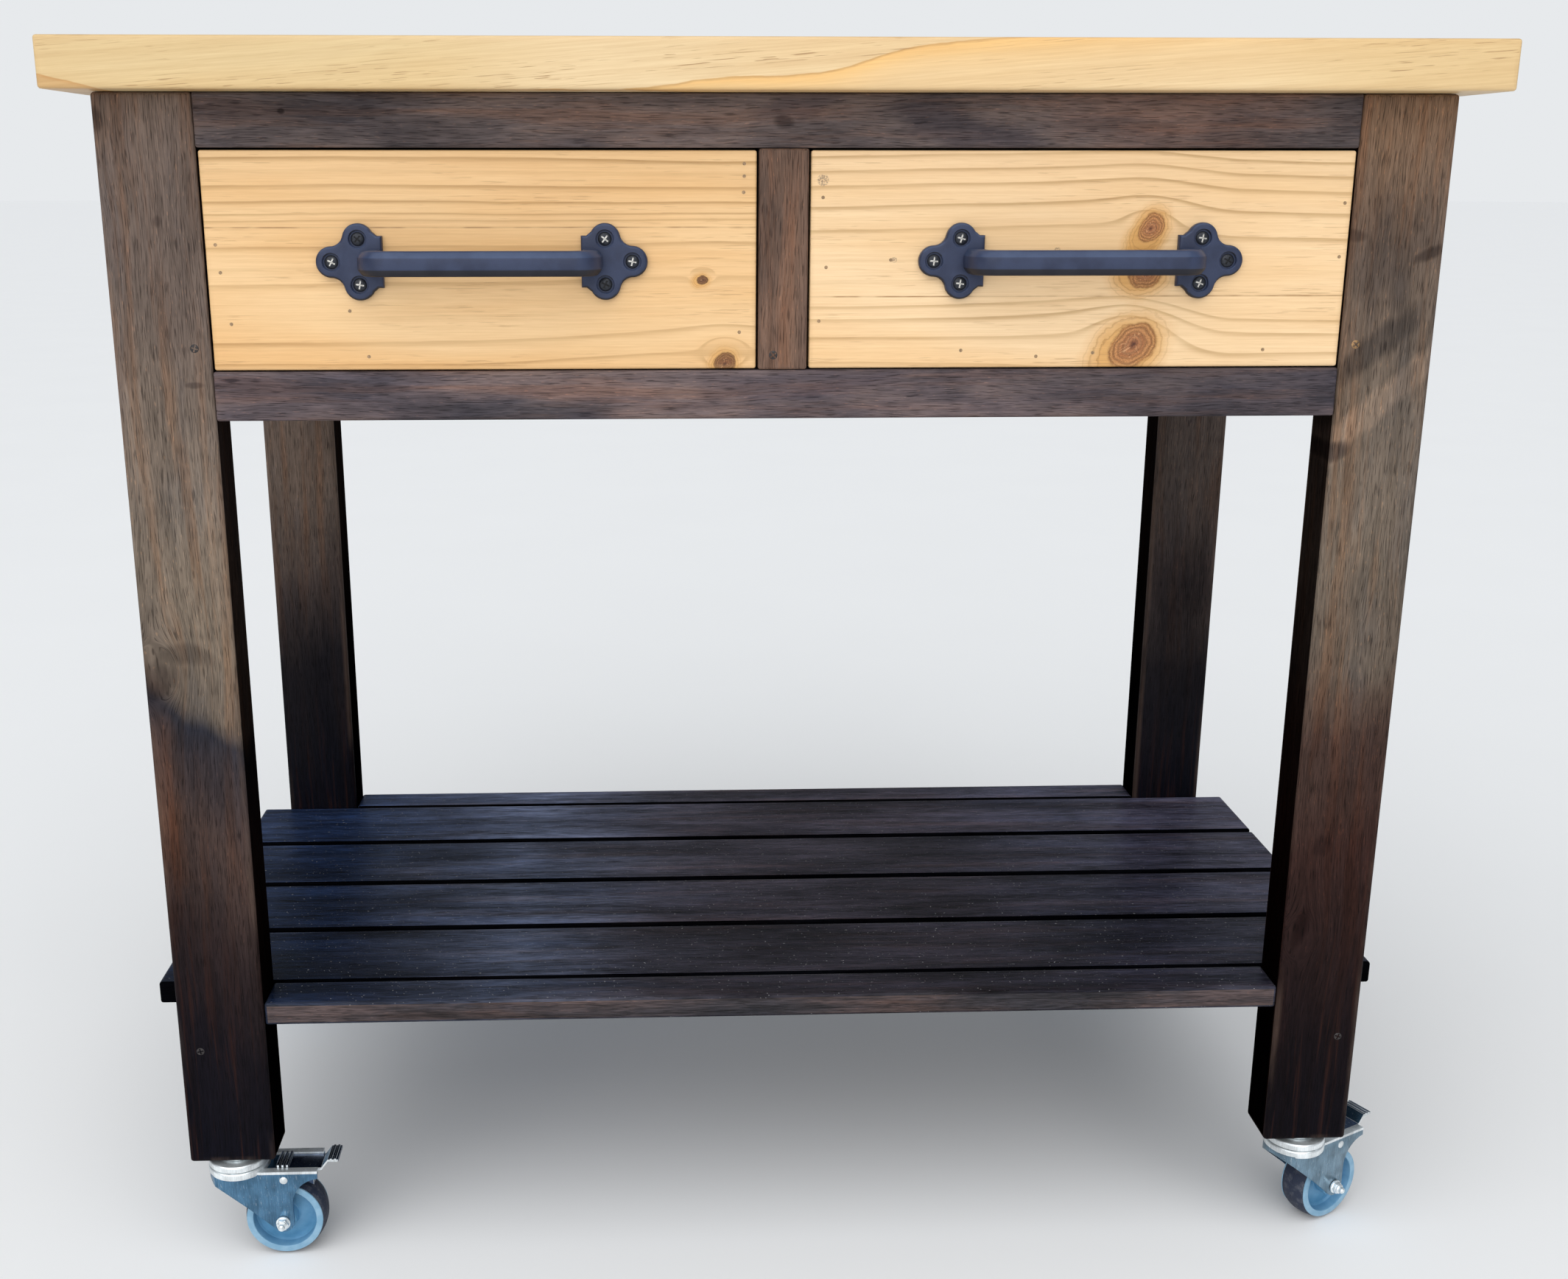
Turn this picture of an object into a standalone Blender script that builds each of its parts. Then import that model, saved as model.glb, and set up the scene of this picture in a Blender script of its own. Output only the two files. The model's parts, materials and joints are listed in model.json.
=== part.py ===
"""Kitchen trolley: a pine top and two pine drawers on a dark stained frame that rolls on castors.

Metres, +Z up. The origin is on the floor under the middle of the frame, and the drawers open towards -Y.
"""

from math import atan2, ceil, cos, degrees, hypot, pi, radians, sin, sqrt

import bmesh
import bpy
from mathutils import Matrix, Vector

# Gaps: between pieces that touch, between pieces that turn or slide on each other
SEAT_GAP = 0.0003
RUN_GAP = 0.0006

# Frame timbers
FRAME_WIDTH = 0.920
FRAME_DEPTH = 0.452
LEG_LENGTH = 0.802
LEG_WIDTH = 0.066
LEG_DEPTH = 0.040
TOP_RAIL_HEIGHT = 0.0355
BOTTOM_RAIL_HEIGHT = 0.034
DIVIDER_WIDTH = 0.034
APRON_THICKNESS = 0.022
APRON_SETBACK = 0.010
TIMBER_EASE = 0.0012

# Work top
TOP_THICKNESS = 0.033
TOP_SIDE_OVERHANG = 0.0225
TOP_FRONT_OVERHANG = 0.032
TOP_REAR_OVERHANG = 0.032
TOP_BOARDS = 4
TOP_EASE = 0.0018

# Shelf, measured from the feet of the legs
SHELF_HEIGHT = 0.135
SLAT_THICKNESS = 0.018
SLAT_OVERHANG = 0.0245
SLAT_GAP = 0.0055
LONG_SLATS = 4
SHORT_SLAT_SETBACK = 0.002
LOWER_RAIL_WIDTH = 0.034
LOWER_RAIL_HEIGHT = 0.042

# Drawers and the runners under them
DRAWER_OPENING_HEIGHT = 0.149
DRAWER_SIDE_GAP = 0.0015
DRAWER_TOP_GAP = 0.0015
DRAWER_FOOT_GAP = 0.0010
DRAWER_RECESS = 0.0008
DRAWER_FRONT_THICKNESS = 0.020
DRAWER_SIDE_THICKNESS = 0.016
DRAWER_BACK_THICKNESS = 0.016
DRAWER_BOTTOM_THICKNESS = 0.009
DRAWER_BOTTOM_RISE = 0.006
DRAWER_KICK_GAP = 0.003
DRAWER_REAR_SPACE = 0.012
RUNNER_THICKNESS = 0.020
RUNNER_LEDGE = 0.018
RUNNER_GUIDE_HEIGHT = 0.030

# Cast pull
PULL_LENGTH = 0.225
PULL_PROJECTION = 0.036
PLATE_LENGTH = 0.0453
PLATE_THICKNESS = 0.005
PLATE_EDGE = 0.0014
LOBE_RADIUS = 0.0105
LOBE_FILLET = 0.006
LOBE_ALONG = 0.0185
LOBE_ACROSS = 0.0152
LOBE_STOP = 28.0
SHOULDER_ACROSS = 0.0173
SHOULDER_STEP = 0.0035
PULL_HOLE_RADIUS = 0.0026
PULL_SINK_RADIUS = 0.0058
PULL_SINK_DEPTH = 0.0012
PULL_CONE_DEPTH = 0.0024
BAR_HEIGHT = 0.0168
BAR_THICKNESS = 0.010
BAR_BEND = 0.013
BAR_INNER_CHAMFER = 0.0015
BAR_OUTER_CHAMFER = 0.0044
BAR_OUTER_SLOPE = 0.0033
FOOT_THICKNESS = 0.0145
FOOT_INSET = 0.0378
FOOT_START = 0.0017

# Castors
CASTOR_HEIGHT = 0.0905
CASTOR_TRAIL = 0.035
CASTOR_TURNS = {"front_left": 0.0, "front_right": 28.0, "rear_left": 180.0, "rear_right": 150.0}
STEM_RADIUS = 0.005
STEM_LENGTH = 0.040
CAP_RADIUS = 0.015
CAP_HEIGHT = 0.0032
RACE_RADIUS = 0.0238
RACE_HEIGHT = 0.0055
CROWN_RADIUS = 0.0240
CROWN_HEIGHT = 0.0064
RACE_EDGE = 0.0012
KINGPIN_RADIUS = 0.006
KINGPIN_HEAD_RADIUS = 0.009
KINGPIN_HEAD_HEIGHT = 0.003
FORK_SHEET = 0.0022
FORK_LAP = 0.0035
FORK_FLANGE = 0.004
CHEEK_GAP = 0.0027
BRAKED_TAIL = 0.064
PLAIN_TAIL = 0.050
TAIL_HEIGHT = 0.0066
BOSS_RADIUS = 0.0085
KNEE_BEHIND_AXLE = 0.026
KNEE_ABOVE_AXLE = 0.0125
BOSS_TURN = 140.0
AXLE_RADIUS = 0.0026
NUT_RADIUS = 0.0050
NUT_HEIGHT = 0.0058
BOLT_END = 0.0032

# Wheels
WHEEL_RADIUS = 0.0325
WHEEL_WIDTH = 0.024
TYRE_THICKNESS = 0.0028
TYRE_SHOULDER = 0.0026
TYRE_WALL = 0.0014
TYRE_DROP = 0.00035
TYRE_FLAT = 0.004
RIM_RING = 0.0047
RIM_WEB = 0.008
HUB_RADIUS = 0.0095

# Brake pedals
PEDAL_SHEET = 0.0022
PEDAL_EAR = 0.0015
PEDAL_DROP = 0.001
PEDAL_LENGTH = 0.080
PEDAL_FRONT = 0.008
TREAD_RISE = 0.0072
TREAD_RUN = 0.0055
TREAD_RIB = 0.0008
TREAD_RIBS = 2
PAD_LENGTH = 0.0125
PAD_RIB = 0.0030
PAD_RIBS = 3
PIN_RADIUS = 0.002
PIN_HEAD_RADIUS = 0.0031
PIN_HEAD_HEIGHT = 0.0010
PIN_FORWARD = 0.0025
PIN_ABOVE_WHEEL = 0.0055
PIN_WALL = 0.0019
BRAKE_TRAVEL = 10.0
SHOE_START = 22.0
SHOE_STOP = 42.0
SHOE_WIDTH = 0.016

# Facets on the turned pieces and arcs, and the angle above which an edge stays crisp
FINE_TURN = 28
COARSE_TURN = 20
HOLE_TURN = 12
HEX_TURN = 6
ARC_FACET = 22.5
FINE_FACET = 10.0
CRISP_ANGLE = 32.0

# Heights above the floor
FOOT_Z = CASTOR_HEIGHT
TOP_Z = FOOT_Z + LEG_LENGTH
OPENING_TOP_Z = TOP_Z - TOP_RAIL_HEIGHT
OPENING_LOW_Z = OPENING_TOP_Z - DRAWER_OPENING_HEIGHT
APRON_LOW_Z = OPENING_LOW_Z - BOTTOM_RAIL_HEIGHT
SHELF_Z = FOOT_Z + SHELF_HEIGHT
SLAT_LOW_Z = SHELF_Z - SLAT_THICKNESS

# Places across and along the frame
HALF_WIDTH = FRAME_WIDTH / 2
HALF_DEPTH = FRAME_DEPTH / 2
LEG_INNER_X = HALF_WIDTH - LEG_WIDTH
LEG_INNER_Y = HALF_DEPTH - LEG_DEPTH
LEG_X = HALF_WIDTH - LEG_WIDTH / 2
LEG_Y = HALF_DEPTH - LEG_DEPTH / 2
HALF_DIVIDER = DIVIDER_WIDTH / 2
APRON_FRONT_Y = HALF_DEPTH - APRON_SETBACK - APRON_THICKNESS
OPENING_WIDTH = LEG_INNER_X - HALF_DIVIDER
OPENING_X = (LEG_INNER_X + HALF_DIVIDER) / 2

# Heights and widths of the castor
CROWN_TOP_Z = FOOT_Z - SEAT_GAP - CAP_HEIGHT - RACE_HEIGHT - RUN_GAP
CROWN_LOW_Z = CROWN_TOP_Z - CROWN_HEIGHT
CHEEK_TOP_Z = CROWN_LOW_Z + FORK_LAP
FORK_INSIDE = WHEEL_WIDTH + 2 * CHEEK_GAP
FORK_WIDTH = FORK_INSIDE + 2 * FORK_SHEET
PIN_X = CASTOR_TRAIL + PIN_FORWARD
PIN_Z = 2 * WHEEL_RADIUS + PIN_ABOVE_WHEEL
RIM_RADIUS = WHEEL_RADIUS - TYRE_THICKNESS


def clear_scene():
    """Remove whatever the scene holds."""
    for item in list(bpy.data.objects):
        bpy.data.objects.remove(item, do_unlink=True)


def finish(name, colour, roughness, metallic=0.0):
    """A material with one colour."""
    made = bpy.data.materials.new(name)
    made.use_nodes = True
    shader = made.node_tree.nodes["Principled BSDF"]
    shader.inputs["Base Color"].default_value = (*colour, 1.0)
    shader.inputs["Roughness"].default_value = roughness
    shader.inputs["Metallic"].default_value = metallic
    return made


def mesh_of(name, bm):
    """Close a bmesh into a mesh whose faces point out."""
    bmesh.ops.recalc_face_normals(bm, faces=bm.faces)
    mesh = bpy.data.meshes.new(name)
    bm.to_mesh(mesh)
    bm.free()
    return mesh


def block_mesh(name, size, ease):
    """A plank of one size about its own middle, with its edges eased."""
    bm = bmesh.new()
    bmesh.ops.create_cube(bm, size=1.0)
    bmesh.ops.scale(bm, vec=size, verts=bm.verts)
    bmesh.ops.bevel(bm, geom=bm.edges[:], offset=ease, segments=1, affect="EDGES")
    return mesh_of(name, bm)


def prism_mesh(name, outline, low, high, along):
    """An outline of (x, z) pushed along Y, or of (x, y) pushed along Z, from low to high."""
    bm = bmesh.new()
    if along == "Y":
        corners = [bm.verts.new((a, low, b)) for a, b in outline]
        step = Vector((0, high - low, 0))
    else:
        corners = [bm.verts.new((a, b, low)) for a, b in outline]
        step = Vector((0, 0, high - low))
    face = bm.faces.new(corners)
    pushed = bmesh.ops.extrude_face_region(bm, geom=[face])["geom"]
    moved = [item for item in pushed if isinstance(item, bmesh.types.BMVert)]
    bmesh.ops.translate(bm, vec=step, verts=moved)
    return mesh_of(name, bm)


def turned_mesh(name, profile, facets, along="Z"):
    """A closed profile of (radius, height) turned about Z or Y; a radius of zero is a point on the axis."""
    bm = bmesh.new()
    rings = []
    for radius, height in profile:
        if radius == 0:
            rings.append([bm.verts.new((0, 0, height))] * facets)
            continue
        turns = [2 * pi * k / facets for k in range(facets)]
        rings.append([bm.verts.new((radius * cos(t), radius * sin(t), height)) for t in turns])
    on_axis = profile[0][0] == 0
    pairs = list(zip(rings, rings[1:]))
    if not on_axis:
        pairs.append((rings[-1], rings[0]))
    for one, two in pairs:
        for k in range(facets):
            after = (k + 1) % facets
            loop = [one[k], one[after], two[after], two[k]]
            corners = list(dict.fromkeys(loop))
            if len(corners) > 2:
                bm.faces.new(corners)
    if along == "Y":
        bmesh.ops.rotate(bm, matrix=Matrix.Rotation(-pi / 2, 3, "X"), verts=bm.verts)
    return mesh_of(name, bm)


def combined(name, base, tools, operation):
    """The base mesh joined with, or cut by, each tool mesh in turn."""
    scene = bpy.context.collection.objects
    body = bpy.data.objects.new(name, base)
    scene.link(body)
    helpers = []
    for number, tool in enumerate(tools):
        helper = bpy.data.objects.new(f"{name}_tool_{number}", tool)
        scene.link(helper)
        step = body.modifiers.new(f"step_{number}", "BOOLEAN")
        step.operation = operation
        step.object = helper
        helpers.append(helper)
    graph = bpy.context.evaluated_depsgraph_get()
    mesh = bpy.data.meshes.new_from_object(body.evaluated_get(graph))
    for item in [body, *helpers]:
        bpy.data.objects.remove(item, do_unlink=True)
    return mesh


def moved(mesh, place):
    """A copy of a mesh at another place."""
    copy = mesh.copy()
    copy.transform(Matrix.Translation(place))
    return copy


def rounded(mesh):
    """Shade a turned or cast mesh smooth and keep its edges crisp."""
    mesh.shade_smooth()
    mesh.set_sharp_from_angle(angle=radians(CRISP_ANGLE))
    return mesh


def put(name, mesh, look, parent=None, place=(0, 0, 0)):
    """One named piece at its place under its parent."""
    piece = bpy.data.objects.new(name, mesh)
    bpy.context.collection.objects.link(piece)
    if not mesh.materials:
        mesh.materials.append(look)
    piece.parent = parent
    piece.location = place
    return piece


def board(name, low, high, look, parent=None, ease=TIMBER_EASE):
    """A plank between two corners."""
    low = Vector(low)
    high = Vector(high)
    return put(name, block_mesh(name, high - low, ease), look, parent, (low + high) / 2)


def pivot(name, place, parent=None, turn=0.0):
    """An empty on a joint's axis."""
    empty = bpy.data.objects.new(name, None)
    bpy.context.collection.objects.link(empty)
    empty.parent = parent
    empty.location = place
    empty.rotation_euler = (0, 0, radians(turn))
    return empty


def arc(centre, radius, start, stop, facet=ARC_FACET):
    """Points along an arc, with the angles in degrees and no facet longer than the one given."""
    steps = ceil(abs(stop - start) / facet)
    turns = [radians(start + (stop - start) * k / steps) for k in range(steps + 1)]
    return [(centre[0] + radius * cos(t), centre[1] + radius * sin(t)) for t in turns]


def make_top(pine):
    """The work top's boards, edge to edge."""
    front = -HALF_DEPTH - TOP_FRONT_OVERHANG
    depth = FRAME_DEPTH + TOP_FRONT_OVERHANG + TOP_REAR_OVERHANG
    half = HALF_WIDTH + TOP_SIDE_OVERHANG
    low = TOP_Z + SEAT_GAP
    for number in range(TOP_BOARDS):
        start = front + depth * number / TOP_BOARDS
        stop = front + depth * (number + 1) / TOP_BOARDS
        inset = SEAT_GAP if number + 1 < TOP_BOARDS else 0.0
        board(f"top_board_{number + 1}", (-half, start, low), (half, stop - inset, low + TOP_THICKNESS), pine,
              ease=TOP_EASE)


def make_legs(stain):
    """Four legs, each bored for its castor's stem."""
    bore_radius = STEM_RADIUS + SEAT_GAP
    bore_top = -LEG_LENGTH / 2 + STEM_LENGTH + SEAT_GAP
    bore_low = -LEG_LENGTH / 2 - LEG_DEPTH
    profile = [(0, bore_top), (bore_radius, bore_top), (bore_radius, bore_low), (0, bore_low)]
    block = block_mesh("leg", (LEG_WIDTH, LEG_DEPTH, LEG_LENGTH), TIMBER_EASE)
    mesh = combined("leg", block, [turned_mesh("bore", profile, HOLE_TURN)], "DIFFERENCE")
    for name, side, end in corners():
        put(f"leg_{name}", mesh, stain, place=(side * LEG_X, end * LEG_Y, FOOT_Z + LEG_LENGTH / 2))


def corners():
    """The four corners by name, with the sign of X and of Y."""
    return [("front_left", -1, -1), ("front_right", 1, -1), ("rear_left", -1, 1), ("rear_right", 1, 1)]


def make_rails(stain):
    """The front rails and divider, the aprons at the sides and the back, and the low side rails."""
    front = -HALF_DEPTH
    behind = -LEG_INNER_Y
    reach = LEG_INNER_X - SEAT_GAP
    board("front_top_rail", (-reach, front, OPENING_TOP_Z), (reach, behind, TOP_Z), stain)
    board("front_bottom_rail", (-reach, front, APRON_LOW_Z), (reach, behind, OPENING_LOW_Z), stain)
    board("front_divider", (-HALF_DIVIDER, front, OPENING_LOW_Z + SEAT_GAP),
          (HALF_DIVIDER, behind, OPENING_TOP_Z - SEAT_GAP), stain)
    apron_rear = APRON_FRONT_Y + APRON_THICKNESS
    board("rear_apron", (-reach, APRON_FRONT_Y, APRON_LOW_Z), (reach, apron_rear, TOP_Z), stain)
    span = LEG_INNER_Y - SEAT_GAP
    outside = HALF_WIDTH - APRON_SETBACK
    low_top = SLAT_LOW_Z - SEAT_GAP
    for name, side in (("left", -1), ("right", 1)):
        xs = sorted((side * outside, side * (outside - APRON_THICKNESS)))
        board(f"side_apron_{name}", (xs[0], -span, APRON_LOW_Z), (xs[1], span, TOP_Z), stain)
        xs = sorted((side * HALF_WIDTH, side * (HALF_WIDTH - LOWER_RAIL_WIDTH)))
        rail_low = low_top - LOWER_RAIL_HEIGHT
        board(f"lower_side_rail_{name}", (xs[0], -span, rail_low), (xs[1], span, low_top), stain)


def make_shelf(stain):
    """Six slats: long ones between the front and rear legs, and a short one between each pair of legs."""
    clear = 2 * (LEG_INNER_Y - SEAT_GAP)
    width = (clear - SLAT_GAP * (LONG_SLATS - 1)) / LONG_SLATS
    half = HALF_WIDTH + SLAT_OVERHANG
    reach = LEG_INNER_X - SEAT_GAP
    outer = HALF_DEPTH - SHORT_SLAT_SETBACK
    inner = LEG_INNER_Y + SHORT_SLAT_SETBACK
    board("slat_1", (-reach, inner, SLAT_LOW_Z), (reach, outer, SHELF_Z), stain)
    for number in range(LONG_SLATS):
        stop = clear / 2 - number * (width + SLAT_GAP)
        board(f"slat_{number + 2}", (-half, stop - width, SLAT_LOW_Z), (half, stop, SHELF_Z), stain)
    board(f"slat_{LONG_SLATS + 2}", (-reach, -outer, SLAT_LOW_Z), (reach, -inner, SHELF_Z), stain)


def make_runners(pine):
    """Wooden runners: an L against each side's legs and an upturned T behind the divider."""
    guide_top = OPENING_LOW_Z + RUNNER_GUIDE_HEIGHT
    low = OPENING_LOW_Z - RUNNER_THICKNESS
    ledge = LEG_INNER_X - RUNNER_LEDGE
    outside = LEG_INNER_X + RUNNER_THICKNESS
    section = [(ledge, low), (outside, low), (outside, guide_top), (LEG_INNER_X, guide_top),
               (LEG_INNER_X, OPENING_LOW_Z), (ledge, OPENING_LOW_Z)]
    span = LEG_INNER_Y - SEAT_GAP
    put("drawer_runner_right", prism_mesh("runner_right", section, -span, span, "Y"), pine)
    mirrored = [(-x, z) for x, z in section]
    put("drawer_runner_left", prism_mesh("runner_left", mirrored, -span, span, "Y"), pine)
    wide = HALF_DIVIDER + RUNNER_LEDGE
    half_tee = [(wide, low), (wide, OPENING_LOW_Z), (HALF_DIVIDER, OPENING_LOW_Z), (HALF_DIVIDER, guide_top)]
    tee = half_tee + [(-x, z) for x, z in reversed(half_tee)]
    start = -LEG_INNER_Y + SEAT_GAP
    stop = APRON_FRONT_Y - SEAT_GAP
    put("drawer_runner_centre", prism_mesh("runner_centre", tee, start, stop, "Y"), pine)


def make_drawer(name, middle, pine, inner_pine, pull_mesh, cast):
    """One drawer on its own slide; its empty is at the opening's lower edge, in the frame's front face."""
    slide = pivot(f"slide_{name}", (middle, -HALF_DEPTH, OPENING_LOW_Z))
    half = OPENING_WIDTH / 2 - DRAWER_SIDE_GAP
    front_top = DRAWER_OPENING_HEIGHT - DRAWER_TOP_GAP
    front_back = DRAWER_RECESS + DRAWER_FRONT_THICKNESS
    board(f"drawer_{name}_front", (-half, DRAWER_RECESS, DRAWER_FOOT_GAP), (half, front_back, front_top),
          pine, slide)
    start = front_back + SEAT_GAP
    stop = HALF_DEPTH + APRON_FRONT_Y - DRAWER_REAR_SPACE
    side_top = DRAWER_OPENING_HEIGHT - DRAWER_KICK_GAP
    inside = half - DRAWER_SIDE_THICKNESS
    board(f"drawer_{name}_side_left", (-half, start, SEAT_GAP), (-inside, stop, side_top), inner_pine, slide)
    board(f"drawer_{name}_side_right", (inside, start, SEAT_GAP), (half, stop, side_top), inner_pine, slide)
    reach = inside - SEAT_GAP
    back_front = stop - DRAWER_BACK_THICKNESS
    board(f"drawer_{name}_back", (-reach, back_front, DRAWER_BOTTOM_RISE), (reach, stop, side_top),
          inner_pine, slide)
    panel_top = DRAWER_BOTTOM_RISE + DRAWER_BOTTOM_THICKNESS
    panel_rear = back_front - SEAT_GAP
    board(f"drawer_{name}_bottom", (-reach, start, DRAWER_BOTTOM_RISE), (reach, panel_rear, panel_top),
          inner_pine, slide)
    pull_z = (DRAWER_FOOT_GAP + front_top) / 2
    put(f"drawer_{name}_pull", pull_mesh, cast, slide, (0, DRAWER_RECESS - SEAT_GAP, pull_z))


def plate_outline():
    """The three-lobed plate as (inward from the tip, up), tip at zero, lobes joined by hollow fillets."""
    tip = (LOBE_RADIUS, 0.0)
    upper = (LOBE_RADIUS + LOBE_ALONG, LOBE_ACROSS)
    apart = hypot(LOBE_ALONG, LOBE_ACROSS)
    lift = sqrt((LOBE_RADIUS + LOBE_FILLET) ** 2 - (apart / 2) ** 2)
    hollow = ((tip[0] + upper[0]) / 2 - lift * LOBE_ACROSS / apart, LOBE_ACROSS / 2 + lift * LOBE_ALONG / apart)
    from_tip = degrees(atan2(hollow[1] - tip[1], hollow[0] - tip[0]))
    from_upper = degrees(atan2(hollow[1] - upper[1], hollow[0] - upper[0])) % 360
    shoulder_x = PLATE_LENGTH - SHOULDER_STEP
    half = arc(tip, LOBE_RADIUS, 180, from_tip)
    half += arc(hollow, LOBE_FILLET, from_tip - 180, from_upper - 180)[1:-1]
    half += arc(upper, LOBE_RADIUS, from_upper, LOBE_STOP)
    half += [(shoulder_x, SHOULDER_ACROSS), (PLATE_LENGTH, SHOULDER_ACROSS)]
    return half + [(x, -z) for x, z in reversed(half[1:])]


def plate_mesh(side):
    """One end plate of the pull, with its front edge chamfered."""
    outline = [(side * (PULL_LENGTH / 2 - x), z) for x, z in plate_outline()]
    mesh = prism_mesh("plate", outline, 0.0, -PLATE_THICKNESS, "Y")
    bm = bmesh.new()
    bm.from_mesh(mesh)
    front = [e for e in bm.edges if all(v.co.y < -PLATE_THICKNESS / 2 for v in e.verts)]
    bmesh.ops.bevel(bm, geom=front, offset=PLATE_EDGE, segments=1, affect="EDGES")
    return mesh_of("plate", bm)


def bar_section(thickness):
    """The bar's section as (up, outward), with wide chamfers on its outer side."""
    tall = BAR_HEIGHT / 2
    deep = thickness / 2
    half = [(tall - BAR_INNER_CHAMFER, -deep), (tall, BAR_INNER_CHAMFER - deep),
            (tall, deep - BAR_OUTER_SLOPE), (tall - BAR_OUTER_CHAMFER, deep)]
    return half + [(-z, out) for z, out in reversed(half)]


def bar_mesh():
    """The bowed grip, swept from foot to foot."""
    foot_x = PULL_LENGTH / 2 - FOOT_INSET
    grip_out = PULL_PROJECTION - BAR_THICKNESS / 2
    rise = grip_out - BAR_BEND
    curve = arc((foot_x - BAR_BEND, rise), BAR_BEND, 0, 90)
    half = [(foot_x, FOOT_START, FOOT_THICKNESS, 0)]
    for k, (x, out) in enumerate(curve):
        part = k / (len(curve) - 1)
        half.append((x, out, FOOT_THICKNESS + (BAR_THICKNESS - FOOT_THICKNESS) * part, 90 * part))
    stations = half + [(-x, out, thick, 180 - turn) for x, out, thick, turn in reversed(half)]
    bm = bmesh.new()
    rings = []
    for x, out, thick, turn in stations:
        lean = radians(turn)
        ring = [(x + n * cos(lean), -out - n * sin(lean), z) for z, n in bar_section(thick)]
        rings.append([bm.verts.new(p) for p in ring])
    count = len(rings[0])
    for one, two in zip(rings, rings[1:]):
        for k in range(count):
            bm.faces.new((one[k], one[(k + 1) % count], two[(k + 1) % count], two[k]))
    bm.faces.new(rings[0])
    bm.faces.new(rings[-1])
    return mesh_of("bar", bm)


def make_pull_mesh():
    """The cast pull about its middle, with its back in the plane y = 0."""
    whole = combined("pull", plate_mesh(-1), [plate_mesh(1), bar_mesh()], "UNION")
    floor = PULL_SINK_DEPTH + PULL_CONE_DEPTH
    beyond = PLATE_THICKNESS + PULL_SINK_DEPTH
    sink = [(0, -PULL_SINK_DEPTH), (PULL_SINK_RADIUS, -PULL_SINK_DEPTH), (PULL_SINK_RADIUS, PULL_SINK_DEPTH),
            (PULL_HOLE_RADIUS, floor), (PULL_HOLE_RADIUS, beyond), (0, beyond)]
    cutter = turned_mesh("sink", sink, HOLE_TURN, "Y")
    holes = [(LOBE_RADIUS, 0.0)]
    holes += [(LOBE_RADIUS + LOBE_ALONG, across) for across in (-LOBE_ACROSS, LOBE_ACROSS)]
    places = [(side * (PULL_LENGTH / 2 - x), -PLATE_THICKNESS, z) for side in (-1, 1) for x, z in holes]
    mesh = combined("pull", whole, [moved(cutter, place) for place in places], "DIFFERENCE")
    return rounded(mesh)


def make_stem_mesh():
    """Threaded stem, cap, upper race and kingpin, turned in one."""
    foot = FOOT_Z - SEAT_GAP
    race_top = foot - CAP_HEIGHT
    race_low = race_top - RACE_HEIGHT
    head_top = CROWN_LOW_Z - RUN_GAP
    head_low = head_top - KINGPIN_HEAD_HEIGHT
    profile = [(0, FOOT_Z + STEM_LENGTH), (STEM_RADIUS, FOOT_Z + STEM_LENGTH), (STEM_RADIUS, foot),
               (CAP_RADIUS, foot), (CAP_RADIUS, race_top), (RACE_RADIUS - RACE_EDGE, race_top),
               (RACE_RADIUS, race_top - RACE_EDGE), (RACE_RADIUS, race_low), (KINGPIN_RADIUS, race_low),
               (KINGPIN_RADIUS, head_top), (KINGPIN_HEAD_RADIUS, head_top), (KINGPIN_RADIUS, head_low),
               (0, head_low)]
    return rounded(turned_mesh("stem", profile, COARSE_TURN))


def fork_profile(tail):
    """The fork's side outline as (behind the swivel, up), down to the bosses round the axle."""
    axle = (CASTOR_TRAIL, WHEEL_RADIUS)
    ahead = -CROWN_RADIUS - FORK_SHEET
    tail_low = CHEEK_TOP_Z - TAIL_HEIGHT
    throat = tail - CASTOR_TRAIL - BOSS_RADIUS
    knee = (CASTOR_TRAIL - KNEE_BEHIND_AXLE, WHEEL_RADIUS + KNEE_ABOVE_AXLE)
    outline = [(ahead, CROWN_LOW_Z), (ahead, CHEEK_TOP_Z), (tail, CHEEK_TOP_Z)]
    outline += arc((tail, tail_low - throat), throat, 90, 180)
    outline += arc(axle, BOSS_RADIUS, 0, -BOSS_TURN)
    return outline + [knee]


def fork_wall(tail):
    """The fork's wall seen from above: two cheeks joined by a round front."""
    outer = CROWN_RADIUS - RUN_GAP
    rows = []
    for radius, across in ((outer, FORK_WIDTH / 2), (outer - FORK_SHEET, FORK_INSIDE / 2)):
        edge = degrees(atan2(across, -sqrt(radius ** 2 - across ** 2)))
        rows.append([(tail, across)] + arc((0, 0), radius, edge, 360 - edge, FINE_FACET) + [(tail, -across)])
    return rows[0] + rows[1][::-1]


def flange_outline(tail):
    """The edge turned in along the top of a cheek, from the crown to the tail, as (behind the swivel, up)."""
    low = CHEEK_TOP_Z - FORK_SHEET
    return [(0, low), (tail, low), (tail, CHEEK_TOP_Z), (0, CHEEK_TOP_Z)]


def across_mesh(name, radius, half, facets):
    """A plain round bar along Y about the origin."""
    return turned_mesh(name, [(0, half), (radius, half), (radius, -half), (0, -half)], facets, "Y")


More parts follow.
